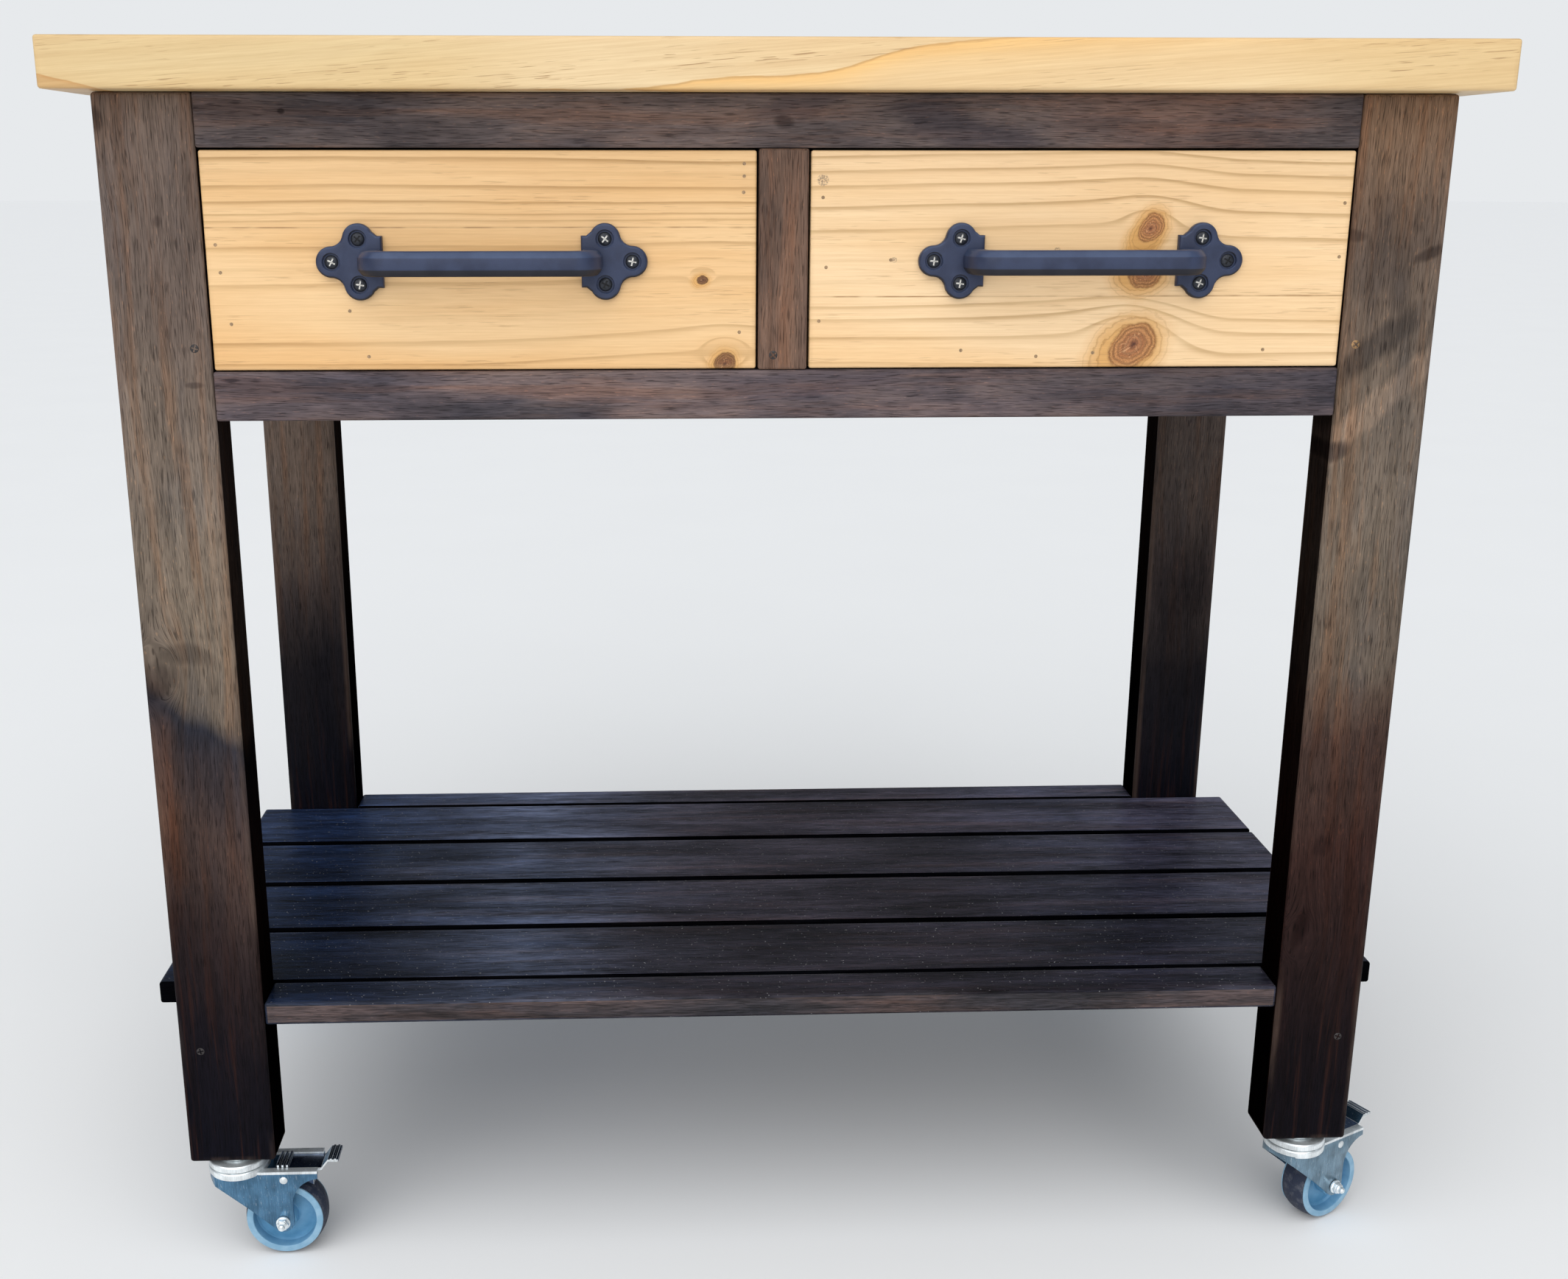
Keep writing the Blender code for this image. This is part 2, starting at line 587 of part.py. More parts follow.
def make_fork_mesh(tail, braked):
    """Pressed fork: a wall trimmed to its side outline, flanges, crown with the lower race, and the brake's pin."""
    wall = prism_mesh("fork", fork_wall(tail), WHEEL_RADIUS - 2 * BOSS_RADIUS, CHEEK_TOP_Z - SEAT_GAP, "Z")
    trim = prism_mesh("trim", fork_profile(tail + FORK_SHEET), -FORK_WIDTH, FORK_WIDTH, "Y")
    sides = combined("fork", wall, [trim], "INTERSECT")
    hole = KINGPIN_RADIUS + RUN_GAP
    flat = CROWN_RADIUS - RACE_EDGE
    crown = [(hole, CROWN_TOP_Z), (flat, CROWN_TOP_Z), (CROWN_RADIUS, CROWN_TOP_Z - RACE_EDGE),
             (CROWN_RADIUS, CROWN_LOW_Z + RACE_EDGE), (flat, CROWN_LOW_Z), (hole, CROWN_LOW_Z)]
    added = [turned_mesh("crown", crown, FINE_TURN)]
    for side in (-1, 1):
        edges = (side * FORK_WIDTH / 2, side * (FORK_INSIDE / 2 - FORK_FLANGE))
        added.append(prism_mesh("flange", flange_outline(tail), *edges, "Y"))
    if braked:
        inner = FORK_WIDTH / 2
        head = inner + PIN_HEAD_HEIGHT
        half_pin = [(0, head), (PIN_HEAD_RADIUS, head), (PIN_HEAD_RADIUS, inner - FORK_SHEET / 2),
                    (PIN_RADIUS, inner - FORK_SHEET / 2)]
        pin = half_pin + [(r, -y) for r, y in reversed(half_pin)]
        added.append(moved(turned_mesh("pin", pin, HOLE_TURN, "Y"), (PIN_X, 0, PIN_Z)))
    whole = combined("fork", sides, added, "UNION")
    bore = across_mesh("bore", AXLE_RADIUS + SEAT_GAP, FORK_WIDTH, HOLE_TURN)
    mesh = combined("fork", whole, [moved(bore, (CASTOR_TRAIL, 0, WHEEL_RADIUS))], "DIFFERENCE")
    return rounded(mesh)


def make_axle_mesh():
    """Axle bolt about its own middle: six-sided head at +Y, nut and bolt end at -Y."""
    seat = FORK_WIDTH / 2 + SEAT_GAP
    shaft = [(0, seat + NUT_HEIGHT / 2), (AXLE_RADIUS, seat + NUT_HEIGHT / 2),
             (AXLE_RADIUS, -seat - NUT_HEIGHT - BOLT_END), (0, -seat - NUT_HEIGHT - BOLT_END)]
    nut = [(0, seat + NUT_HEIGHT), (NUT_RADIUS, seat + NUT_HEIGHT), (NUT_RADIUS, seat), (0, seat)]
    head = turned_mesh("head", nut, HEX_TURN, "Y")
    lock = turned_mesh("nut", [(r, -y) for r, y in nut], HEX_TURN, "Y")
    return combined("axle", turned_mesh("shaft", shaft, HOLE_TURN, "Y"), [head, lock], "UNION")


def make_rim_mesh():
    """Dished plastic rim with its hub, turned about the axle."""
    hub = FORK_INSIDE / 2 - RUN_GAP
    edge = WHEEL_WIDTH / 2
    half = [(AXLE_RADIUS + SEAT_GAP, hub), (HUB_RADIUS, hub), (HUB_RADIUS, RIM_WEB / 2),
            (RIM_RADIUS - RIM_RING, RIM_WEB / 2), (RIM_RADIUS - RIM_RING, edge - RUN_GAP),
            (RIM_RADIUS, edge - RUN_GAP)]
    profile = half + [(r, -y) for r, y in reversed(half)]
    return rounded(turned_mesh("rim", profile, FINE_TURN, "Y"))


def make_tyre_mesh():
    """Crowned tread round the rim."""
    edge = WHEEL_WIDTH / 2
    inner = RIM_RADIUS + SEAT_GAP
    half = [(inner, edge), (RIM_RADIUS + TYRE_WALL, edge), (WHEEL_RADIUS - TYRE_DROP, edge - TYRE_SHOULDER),
            (WHEEL_RADIUS, TYRE_FLAT)]
    profile = half + [(r, -y) for r, y in reversed(half)]
    return rounded(turned_mesh("tyre", profile, FINE_TURN, "Y"))


def shoe_outline(plate_z):
    """The brake shoe about the pin: it meets the tyre once the pedal has turned through its travel."""
    lift = Matrix.Rotation(radians(BRAKE_TRAVEL), 2)
    reach = WHEEL_RADIUS + SEAT_GAP
    axle = (CASTOR_TRAIL - PIN_X, WHEEL_RADIUS - PIN_Z)
    pressed = arc(axle, reach, 90 - SHOE_START, 90 - SHOE_STOP, FINE_FACET)
    face = [tuple(lift @ Vector(p)) for p in pressed]
    return face + [(face[-1][0], plate_z), (face[0][0], plate_z)]


def ribs(start, stop, level, count, proud):
    """The upper line of a ribbed length, from start to stop, as (along, up)."""
    step = (stop - start) / (2 * count + 1)
    line = []
    for k in range(count):
        near = start + (2 * k + 1) * step
        line += [(near, level), (near, level + proud), (near + step, level + proud), (near + step, level)]
    return line


def pedal_profile(low, top):
    """The pedal's side outline about its pin: plate with a ribbed pad, then a rise to the ribbed tread."""
    front = -PEDAL_FRONT
    bend = BRAKED_TAIL + FORK_SHEET - PIN_X
    tread = bend + TREAD_RUN
    tip = PEDAL_LENGTH - PIN_X
    upper = [(front, top)] + ribs(front, front + PAD_LENGTH, top, PAD_RIBS, PAD_RIB)
    upper += [(bend, top), (tread, top + TREAD_RISE)]
    upper += ribs(tread, tip, top + TREAD_RISE, TREAD_RIBS, TREAD_RIB) + [(tip, top + TREAD_RISE)]
    return upper + [(tip, low + TREAD_RISE), (tread, low + TREAD_RISE), (bend, low), (front, low)]


def make_pedal_mesh():
    """Brake pedal about its pin, between the fork's flanges: ribbed plate and tread, shoe and two ears."""
    top = CHEEK_TOP_Z - PEDAL_DROP - PIN_Z
    low = top - PEDAL_SHEET
    middle = (top + low) / 2
    half = FORK_INSIDE / 2 - FORK_FLANGE - RUN_GAP
    ear_radius = PIN_RADIUS + SEAT_GAP + PIN_WALL
    ear = arc((0, 0), ear_radius, 180, 360) + [(ear_radius, middle), (-ear_radius, middle)]
    parts = [prism_mesh("shoe", shoe_outline(middle), -SHOE_WIDTH / 2, SHOE_WIDTH / 2, "Y")]
    outer = half - SEAT_GAP
    for side in (-1, 1):
        parts.append(prism_mesh("ear", ear, side * (outer - PEDAL_EAR), side * outer, "Y"))
    plate = prism_mesh("plate", pedal_profile(low, top), -half, half, "Y")
    whole = combined("pedal", plate, parts, "UNION")
    bore = across_mesh("bore", PIN_RADIUS + SEAT_GAP, FORK_WIDTH, HOLE_TURN)
    return combined("pedal", whole, [bore], "DIFFERENCE")


def make_castors(zinc, plastic, rubber):
    """Four castors; the front two have brakes."""
    stem = make_stem_mesh()
    forks = {True: make_fork_mesh(BRAKED_TAIL, True), False: make_fork_mesh(PLAIN_TAIL, False)}
    axle = make_axle_mesh()
    rim = make_rim_mesh()
    tyre = make_tyre_mesh()
    pedal = make_pedal_mesh()
    for name, side, end in corners():
        braked = end < 0
        foot = (side * LEG_X, end * LEG_Y, 0)
        put(f"castor_{name}_stem", stem, zinc, place=foot)
        swivel = pivot(f"swivel_{name}", foot, turn=CASTOR_TURNS[name])
        put(f"castor_{name}_fork", forks[braked], zinc, swivel)
        put(f"castor_{name}_axle", axle, zinc, swivel, (CASTOR_TRAIL, 0, WHEEL_RADIUS))
        spin = pivot(f"spin_{name}", (CASTOR_TRAIL, 0, WHEEL_RADIUS), swivel)
        put(f"castor_{name}_rim", rim, plastic, spin)
        put(f"castor_{name}_tyre", tyre, rubber, spin)
        if braked:
            hinge = pivot(f"brake_{name}", (PIN_X, 0, PIN_Z), swivel)
            put(f"castor_{name}_pedal", pedal, zinc, hinge)


def main():
    clear_scene()
    pale_pine = finish("pale_pine", (0.80, 0.62, 0.36), 0.45)
    drawer_pine = finish("drawer_pine", (0.78, 0.52, 0.26), 0.45)
    raw_pine = finish("raw_pine", (0.76, 0.58, 0.36), 0.60)
    dark_stain = finish("dark_stain", (0.045, 0.028, 0.022), 0.42)
    blue_black = finish("blue_black_cast", (0.020, 0.026, 0.042), 0.45, 0.3)
    zinc = finish("zinc_plate", (0.62, 0.66, 0.70), 0.28, 1.0)
    grey_plastic = finish("grey_plastic", (0.24, 0.36, 0.46), 0.40)
    dark_rubber = finish("dark_rubber", (0.030, 0.032, 0.038), 0.65)
    make_top(pale_pine)
    make_legs(dark_stain)
    make_rails(dark_stain)
    make_shelf(dark_stain)
    make_runners(raw_pine)
    pull = make_pull_mesh()
    for name, side in (("left", -1), ("right", 1)):
        make_drawer(name, side * OPENING_X, drawer_pine, raw_pine, pull, blue_black)
    make_castors(zinc, grey_plastic, dark_rubber)


main()
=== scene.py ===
"""Looks of the kitchen trolley: finer pieces for the plain solids, woods and metals, light and camera.

Metres, +Z up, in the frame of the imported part. The front faces -Y.
"""

import json
from math import atan2, ceil, cos, degrees, hypot, pi, radians, sin, sqrt

import bmesh
import bpy
from mathutils import Matrix, Vector


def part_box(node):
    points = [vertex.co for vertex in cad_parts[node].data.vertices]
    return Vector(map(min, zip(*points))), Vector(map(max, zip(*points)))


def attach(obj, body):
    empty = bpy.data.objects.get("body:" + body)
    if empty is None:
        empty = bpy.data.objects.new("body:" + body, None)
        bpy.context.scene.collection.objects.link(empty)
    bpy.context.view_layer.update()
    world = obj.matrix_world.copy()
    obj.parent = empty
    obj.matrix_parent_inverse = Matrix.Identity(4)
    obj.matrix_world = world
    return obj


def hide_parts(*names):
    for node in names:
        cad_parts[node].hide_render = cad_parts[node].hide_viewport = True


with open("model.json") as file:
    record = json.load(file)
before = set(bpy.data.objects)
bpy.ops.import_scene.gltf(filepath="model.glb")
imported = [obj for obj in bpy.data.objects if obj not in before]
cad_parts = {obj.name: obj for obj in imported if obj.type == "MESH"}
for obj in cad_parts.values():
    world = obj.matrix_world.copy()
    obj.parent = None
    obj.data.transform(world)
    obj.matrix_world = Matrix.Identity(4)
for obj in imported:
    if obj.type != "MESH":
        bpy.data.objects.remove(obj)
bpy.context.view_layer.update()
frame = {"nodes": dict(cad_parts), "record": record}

# The photograph's camera
PHOTO_WIDTH = 2129
PHOTO_HEIGHT = 1736
FOCAL_PIXELS = 2250.58
CENTRE_PIXEL = (977.28, 848.08)
CAMERA_PLACE = (-0.086, -1.3872, 0.8393)
CAMERA_YAW = 2.0888
CAMERA_PITCH = -15.1763
SENSOR_WIDTH = 36.0

# Light and floor
LAMP_PLACE = Vector((-1.2, -7.4, 0.88))
LAMP_AIM = Vector((0.0, 0.0, 0.62))
LAMP_WIDTH = 10.0
LAMP_HEIGHT = 4.8
LAMP_POWER = 154.0
SUN_STRENGTH = 2.65
SUN_SPREAD = 85.0
SUN_TILT = 38.0
SUN_TURN = -14.0
SURROUND_STRENGTH = 0.30
FLOOR_RADIUS = 60.0
FLOOR_TURN = 96

# Gaps that the solids keep
SEAT_GAP = 0.0003
RUN_GAP = 0.0006

# Planks
ARRIS_STEPS = 3
TIMBER_ARRIS = 0.0016
TOP_ARRIS = 0.0020
SLAT_ARRIS = 0.0021
LEG_ARRIS = 0.0026
BOTTOM_ARRIS = 0.0009
WEAR_WIDTH = 0.0035
BORE_RADIUS = 0.0053
BORE_DEPTH = 0.0403
FLAT_FACE = 0.999
# Lean past which a slat's front faces get painted shade for the gaps
GAP_SIDE = 0.25
# Painted shade on the legs' inner faces
INNER_PAINTED_SHADE = (0.085, 0.078, 0.085)
FLOW_STRETCH = 1.6
FLOW_CORE = 0.8
LINE_EDGE = 0.0060
SEAM_HALF = 0.0007

# Cast pull
PULL_LENGTH = 0.225
PULL_PROJECTION = 0.036
PLATE_LENGTH = 0.0453
PLATE_THICKNESS = 0.005
PLATE_EDGE = 0.0020
PLATE_EDGE_STEPS = 4
LOBE_RADIUS = 0.0105
LOBE_FILLET = 0.009
LOBE_ALONG = 0.0185
LOBE_ACROSS = 0.0152
LOBE_STOP = 28.0
SHOULDER_ACROSS = 0.0173
SHOULDER_STEP = 0.0035
SINK_RADIUS = 0.0058
SINK_DEPTH = 0.0022
SINK_LIP = 0.0005
BAR_HEIGHT = 0.0168
BAR_THICKNESS = 0.010
BAR_BEND = 0.013
BAR_INNER_CHAMFER = 0.0015
BAR_OUTER_CHAMFER = 0.0044
BAR_OUTER_SLOPE = 0.0033
BAR_ROUND = 0.0011
FOOT_THICKNESS = 0.0145
FOOT_INSET = 0.0378
FOOT_START = 0.0017
# Lean past which the pull's faces get painted sky reflection above or painted shade below
PAINTED_LIGHT_LEAN = 0.35

# Screws and brads
PULL_SCREW_RADIUS = 0.0046
PULL_SCREW_SEAT = 0.0004
FRAME_SCREW_RADIUS = 0.0040
FRAME_SCREW_PROUD = 0.0003
FIRST_SCREW_TURN = 17
NEXT_SCREW_TURN = 31
SCREW_DOME = 0.0011
SCREW_EDGE = 0.0006
SCREW_SKIRT = 0.0012
SLOT_WIDTH = 0.00105
SLOT_DEPTH = 0.0007
SLOT_REACH = 0.62
BRAD_RADIUS = 0.0012
BRAD_PROUD = 0.0001
BRAD_LENGTH = 0.0015

# Castors
TRAIL = 0.035
FOOT_Z = 0.0905
CAP_RADIUS = 0.015
CAP_HEIGHT = 0.0032
CAP_EDGE = 0.0006
CAP_ROUND = 0.0008
RACE_RADIUS = 0.0238
RACE_HEIGHT = 0.0055
CROWN_RADIUS = 0.0240
CROWN_HEIGHT = 0.0064
RACE_ROUND = 0.0016
KINGPIN_RADIUS = 0.006
KINGPIN_HEAD_RADIUS = 0.009
KINGPIN_HEAD_HEIGHT = 0.003
STEM_RADIUS = 0.005
STEM_LENGTH = 0.040
FORK_SHEET = 0.0022
FORK_LAP = 0.0035
FORK_FLANGE = 0.004
FORK_EDGE = 0.0008
CHEEK_GAP = 0.0027
BRAKED_TAIL = 0.064
PLAIN_TAIL = 0.050
TAIL_HEIGHT = 0.0066
BOSS_RADIUS = 0.0085
BOSS_TURN = 140.0
KNEE_BEHIND_AXLE = 0.026
KNEE_ABOVE_AXLE = 0.0125
AXLE_RADIUS = 0.0026
NUT_RADIUS = 0.0050
NUT_HEIGHT = 0.0058
NUT_EDGE = 0.0005
COLLAR_INSET = 0.0010
COLLAR_HEIGHT = 0.0016
COLLAR_EDGE = 0.0006
COLLAR_LAP = 0.0005
WASHER_THICKNESS = 0.0011
WASHER_LAP = 0.0006
BOLT_END = 0.0032
BOLT_POINT = 0.0010

# Wheels
WHEEL_RADIUS = 0.0325
WHEEL_WIDTH = 0.024
TYRE_THICKNESS = 0.0028
TYRE_CROWN = 0.0022
TYRE_BULGE = 2.2
TYRE_STEPS = 12
MOULD_LINE = 0.0003
MOULD_DEPTH = 0.00015
RIM_RING = 0.0047
RIM_WEB = 0.008
RIM_ROUND = 0.0006
RIM_LIP = 0.0012
HUB_RADIUS = 0.0095
HUB_DRAFT = 0.0006
HUB_FILLET = 0.0010
HUB_STEP = 0.0190
WEB_STEP = 0.0008
WEB_STEP_RUN = 0.0012
DISH_DRAFT = 0.0004

# Brake pedals
PEDAL_SHEET = 0.0022
PEDAL_EAR = 0.0015
PEDAL_DROP = 0.001
PEDAL_LENGTH = 0.080
PEDAL_FRONT = 0.008
TREAD_RISE = 0.0072
TREAD_RUN = 0.0055
TREAD_RIB = 0.0008
TREAD_RIBS = 2
PAD_LENGTH = 0.0125
PAD_RIB = 0.0030
PAD_RIBS = 3
PEDAL_EDGE = 0.0006
PIN_RADIUS = 0.002
PIN_HEAD_RADIUS = 0.0031
PIN_HEAD_HEIGHT = 0.0010
PIN_BEHIND_AXLE = 0.0025
PIN_ABOVE_WHEEL = 0.0055
PIN_WALL = 0.0019
PIN_PROUD = 0.0001
BRAKE_TRAVEL = 10.0
SHOE_START = 22.0
SHOE_STOP = 42.0
SHOE_WIDTH = 0.016
SHOE_GAP = 1.5 * SEAT_GAP
STRIP_SHARE = 0.008
SLOPE_LEAN = 0.3

# Facets of round pieces
FINE_TURN = 72
SMALL_TURN = 32
BRAD_TURN = 16
HEX_TURN = 6
ARC_FACET = 7.5
WALL_FACET = 5.0
SHOE_FACET = 4.0
RACE_FACET = 22.5
EDGE_FACET = 30.0

# Heights and widths of the castor
CROWN_TOP_Z = FOOT_Z - SEAT_GAP - CAP_HEIGHT - RACE_HEIGHT - RUN_GAP
CROWN_LOW_Z = CROWN_TOP_Z - CROWN_HEIGHT
CHEEK_TOP_Z = CROWN_LOW_Z + FORK_LAP
FORK_INSIDE = WHEEL_WIDTH + 2 * CHEEK_GAP
FORK_WIDTH = FORK_INSIDE + 2 * FORK_SHEET
RIM_RADIUS = WHEEL_RADIUS - TYRE_THICKNESS
PIN_X = TRAIL + PIN_BEHIND_AXLE
PIN_Z = 2 * WHEEL_RADIUS + PIN_ABOVE_WHEEL

# Height that the legs' shading is spread over
LEG_TOP_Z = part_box("leg_front_left")[1].z
CORNERS = ("front_left", "front_right", "rear_left", "rear_right")


class Field:
    """A value that varies over a surface. Sums, products and powers of fields make Math nodes."""

    def __init__(self, graph, socket):
        self.graph = graph
        self.socket = socket

    def __add__(self, other):
        return self.graph.math("ADD", self, other)

    def __sub__(self, other):
        return self.graph.math("SUBTRACT", self, other)

    def __mul__(self, other):
        return self.graph.math("MULTIPLY", self, other)

    def __truediv__(self, other):
        return self.graph.math("DIVIDE", self, other)

    def __pow__(self, other):
        return self.graph.math("POWER", self, other)

    def __abs__(self):
        return self.graph.math("ABSOLUTE", self)

    def step(self, low, high, bottom=0.0, top=1.0):
        """A smooth step from bottom to top as the field goes from low to high."""
        inputs = (self, low, high, bottom, top)
        return self.graph.field(self.graph.node("MapRange", *inputs, interpolation_type="SMOOTHSTEP"))


class Graph:
    """A material's nodes, joined by short calls. A value is a number, a tuple or a field."""

    def __init__(self, name):
        self.material = bpy.data.materials.new(name)
        self.material.use_nodes = True
        self.nodes = self.material.node_tree.nodes
        self.links = self.material.node_tree.links
        self.shader = self.nodes["Principled BSDF"]

    def feed(self, socket, value):
        """Link a field to a socket, or set the socket's own value."""
        if isinstance(value, Field):
            self.links.new(value.socket, socket)
        else:
            socket.default_value = value

    def set(self, **values):
        """Feed the shader's sockets by name, with _ for a space."""
        for name, value in values.items():
            self.feed(self.shader.inputs[name.replace("_", " ")], value)

    def node(self, kind, *values, **settings):
        """A new node with its settings and its first inputs."""
        node = self.nodes.new(f"ShaderNode{kind}")
        for name, value in settings.items():
            setattr(node, name, value)
        for socket, value in zip(node.inputs, values):
            self.feed(socket, value)
        return node

    def field(self, node, output=0):
        """One output of a node."""
        return Field(self, node.outputs[output])

    def math(self, operation, *values):
        """One Math node."""
        return self.field(self.node("Math", *values, operation=operation))

    def length(self, u, v):
        """The distance of a place from the middle."""
        return self.math("SQRT", u * u + v * v)

    def split(self, vector):
        """The three parts of a vector."""
        return [Field(self, part) for part in self.node("SeparateXYZ", vector).outputs]

    def join(self, *parts):
        """A vector from three parts."""
        return self.field(self.node("CombineXYZ", *parts))

    def stored(self, name, part="Vector"):
        """A vector or number stored on the mesh."""
        return self.field(self.node("Attribute", attribute_name=name), part)

    def solid_place(self):
        """The piece's own coordinates, in metres."""
        return self.field(self.node("TexCoord"), "Object")

    def noise(self, vector, scale=1.0, detail=2.0, roughness=0.5):
        """Smooth noise between zero and one; scale is a number, or one for each direction."""
        if isinstance(scale, tuple):
            vector = self.field(self.node("VectorMath", vector, scale, operation="MULTIPLY"))
            scale = 1.0
        node = self.node("TexNoise")
        values = {"Vector": vector, "Scale": scale, "Detail": detail, "Roughness": roughness}
        for name, value in values.items():
            self.feed(node.inputs[name], value)
        return self.field(node, "Fac")

    def sway(self, vector, scale, reach, detail=2.0):
        """Noise about zero, up to half of reach each way."""
        return (self.noise(vector, scale, detail) - 0.5) * reach

    def ramp(self, value, stops):
        """Colours or greys along a value."""
        node = self.node("ValToRGB", value)
        marks = node.color_ramp.elements
        while len(marks) < len(stops):
            marks.new(1.0)
        for mark, (place, colour) in zip(marks, stops):
            mark.position = place
            mark.color = (*colour, 1.0) if isinstance(colour, tuple) else (colour, colour, colour, 1.0)
        return self.field(node, "Color")

    def mix(self, amount, one, two, mode="MIX"):
        """Two colours mixed."""
        node = self.node("Mix", data_type="RGBA", blend_type=mode)
        for socket, value in zip((node.inputs[0], node.inputs[6], node.inputs[7]), (amount, one, two)):
            self.feed(socket, (*value, 1.0) if isinstance(value, tuple) else value)
        return self.field(node, 2)

    def tint(self, amount, colour, tint):
        """A colour multiplied by a tint, by some amount."""
        return self.mix(amount, colour, tint, "MULTIPLY")

    def lit(self, colour, light):
        """A colour multiplied by a grey field."""
        return self.tint(1.0, colour, self.join(light, light, light))

    def bump(self, height, strength, distance):
        """A bumped normal."""
        node = self.node("Bump", strength, distance)
        self.feed(node.inputs["Height"], height)
        return self.field(node, "Normal")


def knot_space(graph, along, across, knot):
    """A place seen from a knot: its two parts and its distance, each in the knot's own size."""
    x, z, long, short, tilt = knot[:5]
    turn = radians(tilt)
    u = along - x
    v = across - z
    a = u * (cos(turn) / long) + v * (sin(turn) / long)
    b = v * (cos(turn) / short) + u * (-sin(turn) / short)
    return a, b, graph.length(a, b)


def part_round(graph, along, across, bends):
    """The fibre's level where it parts round each bend: its place along and across, and its radius."""
    level = across
    for x, z, radius in bends:
        u = (along - x) / FLOW_STRETCH
        v = across - z
        near = graph.math("MAXIMUM", u * u + v * v, FLOW_CORE * radius ** 2)
        level = level - v * radius ** 2 / near
    return level


def draw_knot(graph, place, along, across, knot, colour):
    """One knot: dark pith, cracked core, brown rings, a thin rim and an amber halo with a tail."""
    x, z, long, short, tilt, _, tone = knot
    wave = 0.55 / short
    along = along + graph.sway(place, wave, 0.75 * short, 3.0)
    across = across + graph.sway(place, (wave, -wave, wave), 0.75 * short, 3.0)
    turn = radians(tilt)
    behind = (x - 0.30 * long * cos(turn), z - 0.30 * long * sin(turn), 2.3 * long, 2.1 * short, tilt)
    glow = knot_space(graph, along, across, behind)[2] + graph.sway(place, 260.0, 0.12)
    halo = graph.ramp(glow, [(0.0, 0.95), (0.50, 0.92), (0.66, 0.62), (0.80, 0.26), (1.0, 0.0)])
    colour = graph.mix(halo, colour, (0.70, 0.385, 0.125))
    arcs = graph.ramp(glow, [(0.50, 0.0), (0.54, 0.62), (0.555, 0.0), (0.63, 0.0), (0.67, 0.46), (0.685, 0.0),
                             (0.77, 0.0), (0.80, 0.26), (0.815, 0.0)])
    colour = graph.mix(arcs, colour, (0.40, 0.205, 0.066))
    a, b, reach = knot_space(graph, along, across, knot)
    ragged = reach + graph.sway(place, 420.0, 0.14, 3.0)
    shades = [(0.0, (0.060, 0.022, 0.012)), (0.06, (0.150, 0.052, 0.025)), (0.13, (0.33, 0.130, 0.056)),
              (0.30, (0.42, 0.178, 0.074)), (0.38, (0.50, 0.235, 0.102)), (0.44, (0.33, 0.130, 0.050)),
              (0.54, (0.44, 0.190, 0.072)), (0.72, (0.51, 0.240, 0.090)), (0.79, (0.38, 0.160, 0.054)),
              (0.88, (0.53, 0.265, 0.098)), (0.95, (0.35, 0.145, 0.044)), (1.0, (0.50, 0.245, 0.085))]
    heart = graph.ramp(ragged, [(mark, scaled(shade, tone)) for mark, shade in shades])
    rings = graph.math("SINE", reach * 30.0 + graph.sway(place, 1.4 / short, 9.0)).step(-1.0, 1.0, 0.78, 1.12)
    speckle = graph.noise(place, 1300.0).step(0.30, 0.70, 0.70, 1.20)
    heart = graph.lit(heart, rings * speckle)
    around = graph.join(a / reach, b / reach, reach * 0.5)
    split = abs(graph.noise(around, 1.4, 1.0) - 0.5).step(0.014, 0.004)
    split = split * reach.step(0.10, 0.20) * reach.step(0.62, 0.48, 0.0, 0.70)
    heart = graph.mix(split, heart, (0.74, 0.43, 0.215))
    return graph.mix(ragged.step(1.12, 0.92), colour, heart)


def pine_finish(graph, place, colour, relief, flecked):
    """Fibre, resin flecks, varnish and relief over a pine's figure."""
    fibre = graph.noise(place, (9.0, 620.0, 620.0), 3.0, 0.6)
    fine = graph.noise(place, (40.0, 1500.0, 1500.0), 2.0, 0.6)
    sparse = graph.noise(place, (7.0, 60.0, 60.0)).step(0.42, 0.62)
    fleck = graph.noise(place, (46.0, 1150.0, 1150.0), 1.0).step(0.63, 0.70) * sparse
    blush = graph.noise(place, (3.0, 14.0, 14.0), 3.0).step(0.40, 0.66, 0.0, 0.30)
    colour = graph.tint(blush, colour, (1.03, 0.93, 0.80))
    colour = graph.tint(fibre.step(0.28, 0.72, 0.20, 0.0), colour, (0.62, 0.48, 0.33))
    colour = graph.tint(fine.step(0.30, 0.70, 0.14, 0.0), colour, (0.60, 0.46, 0.32))
    colour = graph.mix(fleck * flecked, colour, (0.34, 0.19, 0.080))
    colour = graph.mix(graph.stored("worn", "Fac") * 0.16, colour, (0.60, 0.38, 0.18))
    height = fibre * 0.5 + fleck * -0.9 + relief
    graph.set(Base_Color=colour, Specular_IOR_Level=0.30, Normal=graph.bump(height, 0.30, 0.0004),
              Roughness=fibre.step(0.25, 0.80, 0.36, 0.52))
    return graph.material


